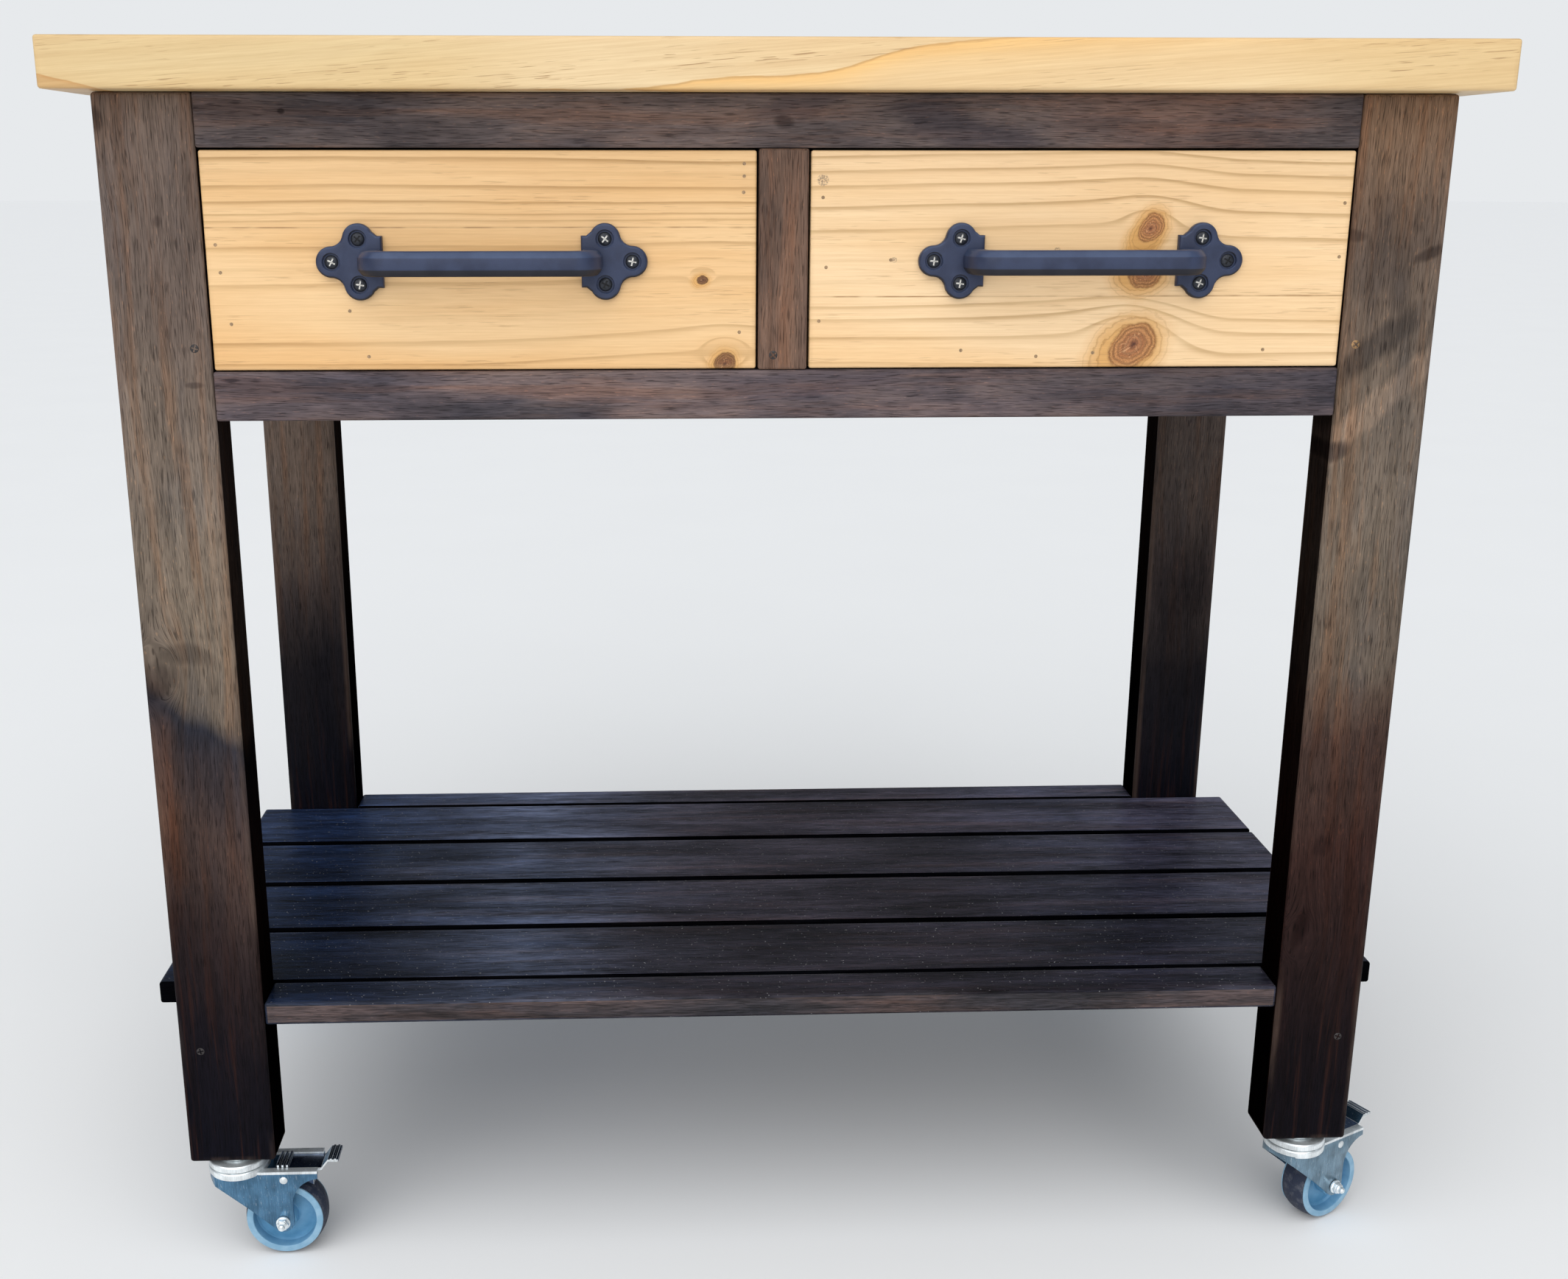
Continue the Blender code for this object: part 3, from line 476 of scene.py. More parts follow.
def front_pine(name, height, lines, knots, spots, seam, fall, pale, deep):
    """Pine for a drawer front: drawn growth lines part round its knots and fall beyond them; a glued seam."""
    graph = Graph(name)
    place = graph.stored("wood")
    along, across, through = graph.split(place)
    start, stop, low_drop, high_drop = fall
    drop = along.step(start, stop) * (across / height).step(0.0, 1.0, low_drop, high_drop)
    swayed = across + drop + graph.sway(place, (3.0, 7.0, 7.0), 0.008)
    swayed = swayed + graph.sway(place, (26.0, 90.0, 90.0), 0.0009)
    level = part_round(graph, along, swayed, [(knot[0], knot[1], knot[5]) for knot in knots])
    share = level / height
    late = 0.0
    for middle, depth, rise in lines:
        below = share.step(middle - rise, middle) ** 4.0
        above = share.step(middle + LINE_EDGE, middle + 0.15 * LINE_EDGE, 0.0, depth)
        late = graph.math("MAXIMUM", late, below * above)
    late = late * graph.noise(place, (5.0, 60.0, 60.0)).step(0.30, 0.58, 0.60, 1.0)
    mottle = graph.noise(graph.join(along, level, through), (3.0, 22.0, 22.0), 3.0)
    colour = graph.mix(mottle.step(0.32, 0.68), pale, deep)
    colour = graph.tint(late, colour, (0.54, 0.465, 0.325))
    for knot in knots:
        colour = draw_knot(graph, place, along, across, knot, colour)
    glue = abs(across - seam * height).step(SEAM_HALF, 0.3 * SEAM_HALF)
    glue = glue * graph.noise(place, (38.0, 20.0, 20.0)).step(0.42, 0.66, 0.25, 0.95)
    colour = graph.mix(glue, colour, (0.40, 0.235, 0.105))
    for x, z, radius in spots:
        away = graph.length(along - x, across - z)
        speck = graph.noise(place, 900.0).step(0.40, 0.60, 0.10, 0.80) * away.step(radius, 0.7 * radius)
        colour = graph.mix(speck, colour, (0.25, 0.18, 0.125))
    return pine_finish(graph, place, colour, late * 0.5, 0.35)


def ring_pine(name, pale, deep, late, spacing, strength, tilt=0.0, figure=None, stored=True):
    """Solid pine: growth rings about a pith at the wood coordinates' start; tilt leans them off the edge."""
    graph = Graph(name)
    place = graph.stored("wood") if stored else graph.solid_place()
    along, across, through = graph.split(place)
    through = through + along * -tilt
    place = graph.join(along, across, through)
    swayed = graph.length(across, through) + graph.sway(place, (1.8, 7.0, 7.0), 0.016, 3.0)
    swayed = swayed + graph.sway(place, (22.0, 90.0, 90.0), 0.0010)
    saw = graph.math("FRACT", swayed / spacing)
    ring = graph.ramp(saw, [(0.0, 0.0), (0.45, 0.06), (0.86, 0.85), (0.93, 1.0), (1.0, 0.0)])
    ring = ring * graph.noise(place, (3.0, 30.0, 30.0), 3.0).step(0.30, 0.66, 0.35, 1.0) * strength
    mottle = graph.noise(place, (2.5, 22.0, 22.0), 3.0)
    colour = graph.mix(mottle.step(0.30, 0.70), pale, deep)
    colour = graph.mix(ring, colour, late)
    if figure:
        colour = figure(graph, colour)
    return pine_finish(graph, place, colour, ring * 0.4, 0.75)


def heartwood(graph, colour):
    """The amber heartwood on the front board of the top: it climbs from the lower edge towards the right."""
    board = graph.stored("board")
    x, depth, rise = graph.split(board)
    wobble = graph.sway(board, (16.0, 30.0, 60.0), 0.0026) + graph.sway(board, (90.0, 90.0, 300.0), 0.0014)
    run = graph.math("MAXIMUM", (x + 0.117 + depth * -1.4) / 0.257, 0.0)
    climb = run * 0.62 + run.step(0.52, 0.82, 0.0, 0.38)
    climb = climb + run.step(0.12, 0.26, 0.0, 0.07) + run.step(0.30, 0.46, 0.0, -0.07)
    share = (climb * 0.033 + wobble - rise) / 0.060
    amount = graph.ramp(share, [(0.0, 0.0), (0.010, 0.95), (0.05, 0.80), (0.16, 0.40), (0.32, 0.12),
                                (0.60, 0.0)])
    colour = graph.mix(amount, colour, (0.80, 0.490, 0.165))
    rim = graph.ramp(share, [(0.0, 0.0), (0.010, 0.60), (0.035, 0.0)])
    colour = graph.mix(rim, colour, (0.36, 0.20, 0.075))
    light = x.step(-0.26, -0.12) * x.step(0.42, 0.26, 0.35, 1.0)
    colour = graph.tint(light, colour, (1.10, 1.11, 1.22))
    tail = (x + 0.443) * -0.24 + wobble - rise
    corner = graph.ramp(tail / 0.010, [(0.0, 0.0), (0.05, 0.9), (0.25, 0.6), (1.0, 0.45)])
    return graph.mix(corner, colour, (0.55, 0.30, 0.105))


def clouded(graph, place, along, across, clouds, colour):
    """Ragged patches of another tint: place along and across, half length, half width, lean and tint."""
    push = graph.sway(place, (17.0, 34.0, 34.0), 1.9, 5.0)
    shove = graph.sway(place, (-20.0, 40.0, -40.0), 1.9, 5.0)
    for middle, side, long, wide, lean, tint in clouds:
        u = along - middle
        v = across - side - u * lean
        reach = (u / long + push) ** 2.0 + (v / wide + shove) ** 2.0
        colour = graph.tint(reach.step(1.7, 0.2), colour, tint)
    return colour


def stain(name, tones, by_height=False, slant=0.0, drift=0.085, clouds=(), burls=(), lengthwise=(),
          marked=(1.0, 1.0, 1.0), gloss=0.50, specular=0.10, rub_and_highlight=0.30, rubbed_and_highlit_to=(0.150, 0.098, 0.074),
          dust=0.0, grain=1.0, coarse=1.0):
    """Dark stain over open grain: tones run up a leg or drift along a rail, clouds are other tints.

    Fibres part round burls, and lengthwise holds tints along a board, from one end to the other: on the
    slats, painted sheen and painted sky reflection.
    """
    graph = Graph(name)
    place = graph.stored("wood")
    along, across, through = graph.split(place)
    level = across + graph.sway(place, (4.5, 24.0, 24.0), 0.014, 3.0)
    level = part_round(graph, along, level, burls)
    flow = graph.join(along, level, through)
    patch = graph.noise(flow, (6.0, 26.0, 26.0), 5.0, 0.6)
    if by_height:
        raised = along + across * slant + graph.sway(flow, (10.0, 24.0, 24.0), drift, 1.5)
        tone_place = raised / LEG_TOP_Z
    else:
        tone_place = patch.step(0.30, 0.70)
    colour = clouded(graph, place, along, across, clouds, graph.ramp(tone_place, tones))
    # Painted sheen and painted sky reflection along a slat's length
    if lengthwise:
        run = graph.split(graph.stored("board"))[0] + 0.5 + graph.sway(flow, (7.0, 26.0, 26.0), 0.11, 4.0)
        colour = graph.tint(1.0, colour, graph.ramp(run, lengthwise))
    warm = graph.noise(flow, (5.0, 85.0, 85.0), 4.0, 0.6).step(0.48, 0.68, 0.0, 0.75)
    cool = graph.noise(flow, (-6.0, 30.0, -30.0), 4.0, 0.6).step(0.50, 0.68, 0.0, 0.65)
    colour = graph.tint(warm, colour, (1.20, 0.95, 0.78))
    colour = graph.tint(cool, colour, (0.72, 0.80, 0.92))
    streak = graph.noise(flow, (12.0 / coarse, 270.0 / coarse, 270.0 / coarse), 3.0, 0.6)
    fibre = graph.noise(flow, (45.0, 1000.0, 1000.0), 2.0, 0.6)
    light = patch.step(0.28, 0.72, 0.80, 1.18) + streak.step(0.28, 0.72, -0.16 * grain, 0.16 * grain)
    light = light + fibre.step(0.28, 0.72, -0.20 * grain, 0.20 * grain)
    colour = graph.lit(colour, light)
    pore = graph.noise(flow, (70.0, 1500.0, 1500.0), 1.0).step(0.56, 0.67)
    colour = graph.tint(pore * 0.62, colour, (0.16, 0.15, 0.16))
    fleck = graph.noise(flow, (170.0, -950.0, 950.0), 1.0).step(0.66, 0.74)
    colour = graph.tint(fleck * 0.75, colour, (1.70, 1.45, 1.25))
    if by_height:
        ember = graph.noise(flow, (-8.0, -230.0, 230.0), 4.0, 0.6).step(0.50, 0.74)
        colour = graph.mix(ember * tone_place.step(0.42, 0.22, 0.0, 0.65), colour, (0.034, 0.0125, 0.0085))
    # The marked tint is painted shade; only the legs' inner faces are given one
    colour = graph.tint(graph.stored("marked", "Fac"), colour, marked)
    # Rubbed arrises: wear, and on the slats a painted highlight line
    rubbed_and_highlit = graph.stored("worn", "Fac") * patch.step(0.42, 0.68, 0.0, rub_and_highlight)
    colour = graph.mix(rubbed_and_highlit, colour, rubbed_and_highlit_to)
    if dust:
        speck = graph.noise(place, 520.0, 1.0).step(0.72, 0.77, 0.0, dust)
        colour = graph.mix(speck, colour, (0.30, 0.30, 0.31))
    height = fibre * 0.5 + pore * -0.9 + streak * 0.4
    graph.set(Base_Color=colour, Specular_IOR_Level=specular, Normal=graph.bump(height, 0.50, 0.0005),
              Roughness=patch.step(0.28, 0.72, gloss + 0.12, gloss - 0.08))
    return graph.material


def cast_coat(name, dark, pale, roughness):
    """Satin blue-black coat on cast iron."""
    graph = Graph(name)
    place = graph.solid_place()
    skin = graph.noise(place, 1500.0, 3.0)
    cloud = graph.noise(place, 70.0, 3.0)
    graph.set(Base_Color=graph.mix(cloud.step(0.30, 0.70), dark, pale), Metallic=0.15,
              Specular_IOR_Level=0.38, Normal=graph.bump(skin, 0.22, 0.0004),
              Roughness=cloud.step(0.25, 0.75, roughness - 0.07, roughness + 0.07))
    return graph.material


def zinc_plate(name, colour, roughness, drawn=0.16, metallic=1.0):
    """Zinc plating: upright drawn lines, clouded passivation, scratches and small scuffs."""
    graph = Graph(name)
    place = graph.solid_place()
    cloud = graph.noise(place, (70.0, 70.0, 45.0), 4.0, 0.62)
    lines = graph.noise(place, (1500.0, 1500.0, 70.0), 3.0, 0.6)
    scratch = graph.noise(place, (1900.0, 1900.0, -130.0), 1.0).step(0.67, 0.72)
    scuff = graph.noise(place, (700.0, 240.0, 900.0), 1.0).step(0.69, 0.75)
    shade = graph.mix(cloud.step(0.34, 0.66), colour, scaled(colour, 0.66))
    shade = graph.lit(shade, lines.step(0.30, 0.70, 1.0 - drawn, 1.0 + drawn))
    worn = graph.math("MAXIMUM", scratch * 0.30, scuff * 0.26)
    shade = graph.mix(worn, shade, (0.80, 0.86, 0.90))
    graph.set(Base_Color=shade, Metallic=metallic, Normal=graph.bump(lines * 0.6 + worn * -0.5, 0.14, 0.0003),
              Roughness=cloud.step(0.28, 0.72, roughness - 0.07, roughness + 0.09))
    return graph.material


def rim_plastic():
    """Moulded blue-grey plastic, paler on the outer ring, with a faint mould texture."""
    graph = Graph("rim_plastic")
    place = graph.solid_place()
    x, _, z = graph.split(place)
    cloud = graph.noise(place, 110.0, 3.0)
    grain = graph.noise(place, 2400.0)
    dish = graph.mix(cloud.step(0.30, 0.72), (0.086, 0.250, 0.420), (0.122, 0.305, 0.490))
    edge = graph.mix(cloud.step(0.35, 0.65), (0.180, 0.345, 0.488), (0.245, 0.412, 0.550))
    ring = graph.length(x, z).step(RIM_RADIUS - 1.15 * RIM_RING, RIM_RADIUS - 0.85 * RIM_RING)
    graph.set(Base_Color=graph.mix(ring, dish, edge), Specular_IOR_Level=0.42,
              Normal=graph.bump(grain, 0.10, 0.0003), Roughness=grain.step(0.25, 0.75, 0.36, 0.50))
    return graph.material


def tyre_rubber():
    """Dark rubber with a dusty, scuffed tread."""
    graph = Graph("tyre_rubber")
    place = graph.solid_place()
    cloud = graph.noise(place, 130.0, 4.0, 0.65)
    grit = graph.noise(place, 1100.0).step(0.56, 0.70)
    dusty = cloud.step(0.44, 0.66) * grit.step(0.0, 1.0, 0.45, 1.0)
    colour = graph.mix(dusty * 0.75, (0.017, 0.024, 0.048), (0.16, 0.165, 0.185))
    graph.set(Base_Color=colour, Specular_IOR_Level=0.30, Normal=graph.bump(grit, 0.30, 0.0004),
              Roughness=cloud.step(0.30, 0.70, 0.52, 0.80))
    return graph.material


def plain_metal(name, colour, metallic, roughness):
    """Coated or worn metal on screws and brads."""
    graph = Graph(name)
    cloud = graph.noise(graph.solid_place(), 900.0, 3.0)
    shade = graph.mix(cloud.step(0.32, 0.68), colour, scaled(colour, 0.55))
    graph.set(Base_Color=shade, Metallic=metallic, Normal=graph.bump(cloud, 0.15, 0.0002),
              Roughness=cloud.step(0.25, 0.75, roughness - 0.08, roughness + 0.12))
    return graph.material


def scaled(colour, share):
    """A darker or lighter colour."""
    return tuple(share * part for part in colour)


def even(*colours):
    """Colours spread evenly along a ramp."""
    return [(number / (len(colours) - 1), colour) for number, colour in enumerate(colours)]


def shown(name, data):
    """A new object in the scene."""
    thing = bpy.data.objects.new(name, data)
    bpy.context.collection.objects.link(thing)
    return thing


def mesh_of(name, bm):
    """A closed mesh whose faces point out."""
    bmesh.ops.recalc_face_normals(bm, faces=bm.faces)
    mesh = bpy.data.meshes.new(name)
    bm.to_mesh(mesh)
    bm.free()
    return mesh


def prism(name, outline, low, high, along):
    """An outline of (x, z) pushed along Y, or of (x, y) pushed along Z, from low to high."""
    bm = bmesh.new()
    if along == "Y":
        corners = [bm.verts.new((a, low, b)) for a, b in outline]
        step = Vector((0, high - low, 0))
    else:
        corners = [bm.verts.new((a, b, low)) for a, b in outline]
        step = Vector((0, 0, high - low))
    face = bm.faces.new(corners)
    pushed = bmesh.ops.extrude_face_region(bm, geom=[face])["geom"]
    bmesh.ops.translate(bm, vec=step, verts=[item for item in pushed if isinstance(item, bmesh.types.BMVert)])
    return mesh_of(name, bm)


def turned(name, profile, facets, along="Z"):
    """A closed profile of (radius, height) turned about Z or Y; a radius of zero is a point on the axis."""
    bm = bmesh.new()
    rings = []
    for radius, height in profile:
        if radius == 0:
            rings.append([bm.verts.new((0, 0, height))] * facets)
            continue
        turns = [2 * pi * k / facets for k in range(facets)]
        rings.append([bm.verts.new((radius * cos(t), radius * sin(t), height)) for t in turns])
    pairs = list(zip(rings, rings[1:]))
    if profile[0][0] != 0:
        pairs.append((rings[-1], rings[0]))
    for one, two in pairs:
        for k in range(facets):
            after = (k + 1) % facets
            corners = list(dict.fromkeys([one[k], one[after], two[after], two[k]]))
            if len(corners) > 2:
                bm.faces.new(corners)
    if along == "Y":
        bmesh.ops.rotate(bm, matrix=Matrix.Rotation(-pi / 2, 3, "X"), verts=bm.verts)
    return mesh_of(name, bm)


def plug(radius, low, high):
    """The profile of a plain cylinder."""
    return [(0, high), (radius, high), (radius, low), (0, low)]


def drill(radius):
    """A cutter through the whole fork, along Y."""
    return turned("bore", plug(radius, -FORK_WIDTH, FORK_WIDTH), SMALL_TURN, "Y")


def baked(name, mesh, modifiers):
    """A mesh with modifiers applied; each is its kind and its settings."""
    body = shown(name, mesh)
    for number, (kind, settings) in enumerate(modifiers):
        step = body.modifiers.new(f"step_{number}", kind)
        for key, value in settings.items():
            setattr(step, key, value)
    graph = bpy.context.evaluated_depsgraph_get()
    made = bpy.data.meshes.new_from_object(body.evaluated_get(graph))
    bpy.data.objects.remove(body, do_unlink=True)
    return made


def combined(name, base, tools, operation):
    """The base mesh joined with, or cut by, each tool mesh in turn."""
    helpers = [shown(f"{name}_tool_{number}", tool) for number, tool in enumerate(tools)]
    made = baked(name, base, [("BOOLEAN", {"operation": operation, "object": helper}) for helper in helpers])
    for helper in helpers:
        bpy.data.objects.remove(helper, do_unlink=True)
    return made


def softened(name, mesh, width, segments=2, angle=35.0):
    """A mesh with its crisp edges rounded."""
    settings = {"width": width, "segments": segments, "limit_method": "ANGLE", "angle_limit": radians(angle)}
    return baked(name, mesh, [("BEVEL", settings)])


def smooth(mesh, angle=32.0):
    """Shade smooth and keep the edges above an angle crisp."""
    mesh.shade_smooth()
    mesh.set_sharp_from_angle(angle=radians(angle))
    return mesh


def moved(mesh, place):
    """A copy of a mesh at another place."""
    copy = mesh.copy()
    copy.transform(Matrix.Translation(place))
    return copy


def dressed(mesh, looks, choose):
    """A mesh with its looks; choose gives the number of a face's look."""
    for look in looks:
        mesh.materials.append(look)
    for face in mesh.polygons:
        face.material_index = choose(face)
    return mesh


def arc(centre, radius, start, stop, facet=ARC_FACET):
    """Points along an arc, with the angles in degrees and no facet longer than the one given."""
    steps = max(1, ceil(abs(stop - start) / facet))
    turns = [radians(start + (stop - start) * k / steps) for k in range(steps + 1)]
    return [(centre[0] + radius * cos(t), centre[1] + radius * sin(t)) for t in turns]


def piece(name, mesh, looks, body, at=Matrix.Identity(4), nodes=()):
    """One shown piece at its place, on its body, in place of CAD nodes."""
    thing = shown(name, mesh)
    thing.matrix_world = at
    if not mesh.materials:
        for look in looks:
            mesh.materials.append(look)
    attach(thing, body)
    if nodes:
        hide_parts(*nodes)
    return thing


def side_of(marked):
    """The axis and sign of a side that is written as +x or -y."""
    return "xyz".index(marked[1]), 1 if marked[0] == "+" else -1


def plank(node, look, body, fibre, start=(0.0, 0.0, 0.0), arris=TIMBER_ARRIS, bored=False, marked=None,
          shaded=None, past=FLAT_FACE):
    """A finer plank in place of a CAD plank; fibre names the axes along, across and through the grain.

    Faces that look to the marked side, past a lean, have the shaded look.
    """
    low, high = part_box(node)
    half = (high - low) / 2
    bm = bmesh.new()
    bmesh.ops.create_cube(bm, size=2.0)
    bmesh.ops.scale(bm, vec=half, verts=bm.verts)
    bmesh.ops.bevel(bm, geom=bm.edges[:], offset=arris, segments=ARRIS_STEPS, affect="EDGES", profile=0.5)
    flats = [face for face in bm.faces if max(abs(part) for part in face.normal) > FLAT_FACE]
    bmesh.ops.inset_individual(bm, faces=flats, thickness=min(WEAR_WIDTH, 0.3 * min(half)))
    mesh = mesh_of(node, bm)
    if bored:
        bore = plug(BORE_RADIUS, -2 * half.z, BORE_DEPTH - half.z)
        mesh = combined(node, mesh, [turned("bore", bore, SMALL_TURN)], "DIFFERENCE")
    mesh.shade_smooth()
    store_wood(mesh, half, arris, fibre, start, marked)
    looks = [look]
    if shaded:
        looks.append(shaded)
        axis, sign = side_of(marked)
        for face in mesh.polygons:
            face.material_index = 1 if sign * face.normal[axis] > past else 0
    return piece(f"{node}_wood", mesh, looks, body, Matrix.Translation((low + high) / 2), [node])


def store_wood(mesh, half, arris, fibre, start, marked):
    """Store wood coordinates, the place on the board, the arrises and the marked face on a plank's points."""
    axes = ["xyz".index(letter) for letter in fibre]
    kinds = {"wood": "FLOAT_VECTOR", "board": "FLOAT_VECTOR", "worn": "FLOAT", "marked": "FLOAT"}
    for name, kind in kinds.items():
        mesh.attributes.new(name, kind, "POINT")
    wood, board, worn, mark = (mesh.attributes[name].data for name in kinds)
    for point in mesh.vertices:
        wood[point.index].vector = [point.co[axis] + start[k] for k, axis in enumerate(axes)]
        board[point.index].vector = (point.co.x, point.co.y + half.y, point.co.z + half.z)
        near = sum(abs(point.co[axis]) > half[axis] - 1.01 * arris for axis in range(3))
        worn[point.index].value = 1.0 if near > 1 else 0.0
        if marked:
            axis, sign = side_of(marked)
            away = half[axis] - sign * point.co[axis]
            mark[point.index].value = 1.0 if away < 0.1 * arris else 0.0


def dress_top():
    """The boards of the top, each cut from another part of the log."""
    tones = {"pale": (0.75, 0.580, 0.320), "deep": (0.70, 0.515, 0.265), "late": (0.50, 0.31, 0.125)}
    tones["spacing"] = 0.0085
    pine = ring_pine("top_pine", strength=0.40, tilt=0.03, **tones)
    fronted = ring_pine("top_pine_front", strength=0.17, tilt=0.075, figure=heartwood, **tones)
    for number in range(4):
        start = (0.63 * number, 0.021 * (number % 2) - 0.008, 0.055 + 0.017 * number)
        look = pine if number else fronted
        plank(f"top_board_{number + 1}", look, "frame", "xyz", start, TOP_ARRIS)


def dress_legs():
    """The legs: near black at the foot, brown at knee height, tan grey above, with painted shade on their
    inner faces.
    """
    left = [(0.12, (0.0030, 0.0028, 0.0060)), (0.22, (0.0062, 0.0046, 0.0070)),
            (0.31, (0.0215, 0.0135, 0.0135)), (0.41, (0.056, 0.036, 0.031)),
            (0.47, (0.044, 0.033, 0.034)), (0.506, (0.026, 0.025, 0.032)),
            (0.526, (0.130, 0.100, 0.078)), (0.62, (0.172, 0.134, 0.103)), (0.74, (0.172, 0.132, 0.104)),
            (0.86, (0.162, 0.120, 0.098)), (1.0, (0.158, 0.116, 0.094))]
    right = [(0.12, (0.0034, 0.0024, 0.0044)), (0.20, (0.0060, 0.0036, 0.0048)),
             (0.29, (0.0175, 0.0090, 0.0086)), (0.39, (0.036, 0.0170, 0.0140)),
             (0.48, (0.058, 0.034, 0.027)), (0.525, (0.092, 0.062, 0.047)),
             (0.555, (0.122, 0.093, 0.072)), (0.64, (0.156, 0.122, 0.094)), (0.78, (0.146, 0.111, 0.085)),
             (0.88, (0.138, 0.098, 0.074)), (0.97, (0.190, 0.117, 0.074))]
    rear = [(0.28, (0.0036, 0.0038, 0.0072)), (0.42, (0.0100, 0.0085, 0.0105)), (0.52, (0.046, 0.034, 0.031)),
            (0.62, (0.098, 0.075, 0.062)), (0.85, (0.130, 0.100, 0.084))]
    clouds = {
        "front_left": [(0.800, 0.004, 0.090, 0.030, 0.1, (0.78, 0.78, 0.79)),
                       (0.560, 0.010, 0.120, 0.020, 0.0, (1.12, 1.12, 1.10)),
                       (0.486, -0.026, 0.014, 0.018, 0.4, (0.62, 0.60, 0.62)),
                       (0.505, 0.000, 0.008, 0.016, -0.6, (0.64, 0.63, 0.64)),
                       (0.809, 0.004, 0.0040, 0.0024, 0.0, (0.66, 0.64, 0.65)),
                       (0.875, -0.033, 0.008, 0.007, 0.0, (0.50, 0.48, 0.48)),
                       (0.699, 0.021, 0.0022, 0.0055, 0.0, (0.60, 0.59, 0.61)),
                       (0.390, -0.030, 0.080, 0.016, 0.0, (1.40, 1.10, 0.88))],
        "front_right": [(0.726, -0.005, 0.028, 0.014, 1.0, (0.54, 0.56, 0.60)),
                        (0.686, 0.002, 0.085, 0.0130, 1.0, (1.58, 1.50, 1.44)),
                        (0.648, -0.032, 0.008, 0.012, 0.8, (0.40, 0.40, 0.44)),
                        (0.795, -0.004, 0.040, 0.034, 0.0, (0.76, 0.76, 0.78)),
                        (0.787, 0.024, 0.008, 0.007, 1.2, (0.48, 0.47, 0.49)),
                        (0.800, -0.032, 0.004, 0.010, 0.0, (0.55, 0.53, 0.54)),
                        (0.345, -0.010, 0.008, 0.007, 0.0, (0.66, 0.64, 0.66)),
                        (0.275, -0.020, 0.020, 0.005, 0.2, (0.55, 0.48, 0.48))],
        "rear_left": [(0.60, 0.0, 0.10, 0.03, 0.0, (1.15, 1.10, 1.06))],
        "rear_right": [(0.60, 0.0, 0.20, 0.06, 0.0, (0.62, 0.62, 0.66))],
    }
    burls = {"front_left": [(0.492, -0.024, 0.014)], "front_right": [(0.268, -0.022, 0.012)]}
    runs = {"front_left": left, "front_right": right, "rear_left": rear, "rear_right": rear}
    for number, corner in enumerate(CORNERS):
        node = f"leg_{corner}"
        slant, drift = (0.81, 0.068) if corner == "front_left" else (-0.15, 0.085)
        shared = {"tones": runs[corner], "by_height": True, "slant": slant, "drift": drift,
                  "clouds": clouds[corner], "burls": burls.get(corner, ())}
        look = stain(f"stain_{node}", specular=0.05, **shared)
        # Painted shade on the inner faces: a dark tint and no specular
        shaded = stain(f"stain_{node}_inner", marked=INNER_PAINTED_SHADE, specular=0.0, rub_and_highlight=0.1, **shared)
        low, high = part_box(f"leg_{corner}")
        start = ((low.z + high.z) / 2, 0.0, 0.31 * number)
        plank(node, look, "frame", "zxy", start, LEG_ARRIS, bored=True,
              marked="+x" if corner.endswith("left") else "-x", shaded=shaded)


def dress_frame():
    """The stained rails, divider, aprons and lower side rails."""
    rail = stain(
        "stain_rail", even((0.074, 0.059, 0.060), (0.104, 0.082, 0.080), (0.142, 0.104, 0.092)),
        clouds=[(-0.335, 0.0054, 0.0024, 0.0020, 0.0, (0.34, 0.32, 0.32)),
                (0.000, -0.0012, 0.0060, 0.0045, 0.0, (0.45, 0.42, 0.42)),
                (0.022, 0.016, 0.030, 0.012, 0.3, (0.68, 0.68, 0.74)),
                (0.118, -0.004, 0.045, 0.016, -0.3, (0.62, 0.63, 0.70)),
                (0.280, 0.000, 0.100, 0.050, 0.0, (1.16, 0.99, 0.90))])
    low_rail = stain(
        "stain_low_rail", even((0.078, 0.064, 0.072), (0.118, 0.090, 0.094), (0.158, 0.114, 0.106)),
        clouds=[(0.300, 0.004, 0.160, 0.030, 0.0, (0.56, 0.60, 0.65)),
                (0.030, 0.010, 0.070, 0.012, 0.1, (0.62, 0.66, 0.76)),
                (-0.180, -0.012, 0.060, 0.010, 0.0, (0.55, 0.62, 0.68)),
                (-0.383, 0.0112, 0.0075, 0.0014, 0.0, (0.35, 0.35, 0.38))])
    warm = stain("stain_divider", even((0.085, 0.058, 0.047), (0.125, 0.077, 0.057), (0.165, 0.098, 0.068)))
    dim = stain("stain_apron", even((0.060, 0.043, 0.039), (0.070, 0.050, 0.045), (0.082, 0.058, 0.050)),
                grain=1.7, coarse=1.5)
    plank("front_top_rail", rail, "frame", "xzy")
    plank("front_bottom_rail", low_rail, "frame", "xzy")
    plank("front_divider", warm, "frame", "zxy")
    plank("rear_apron", dim, "frame", "xzy", (1.7, 0.0, 0.0))
    for number, side in enumerate(("left", "right")):
        plank(f"side_apron_{side}", dim, "frame", "yzx", (2.9 + number, 0.3, 0.0))
        plank(f"lower_side_rail_{side}", dim, "frame", "yzx", (5.1 + number, 0.7, 0.0))


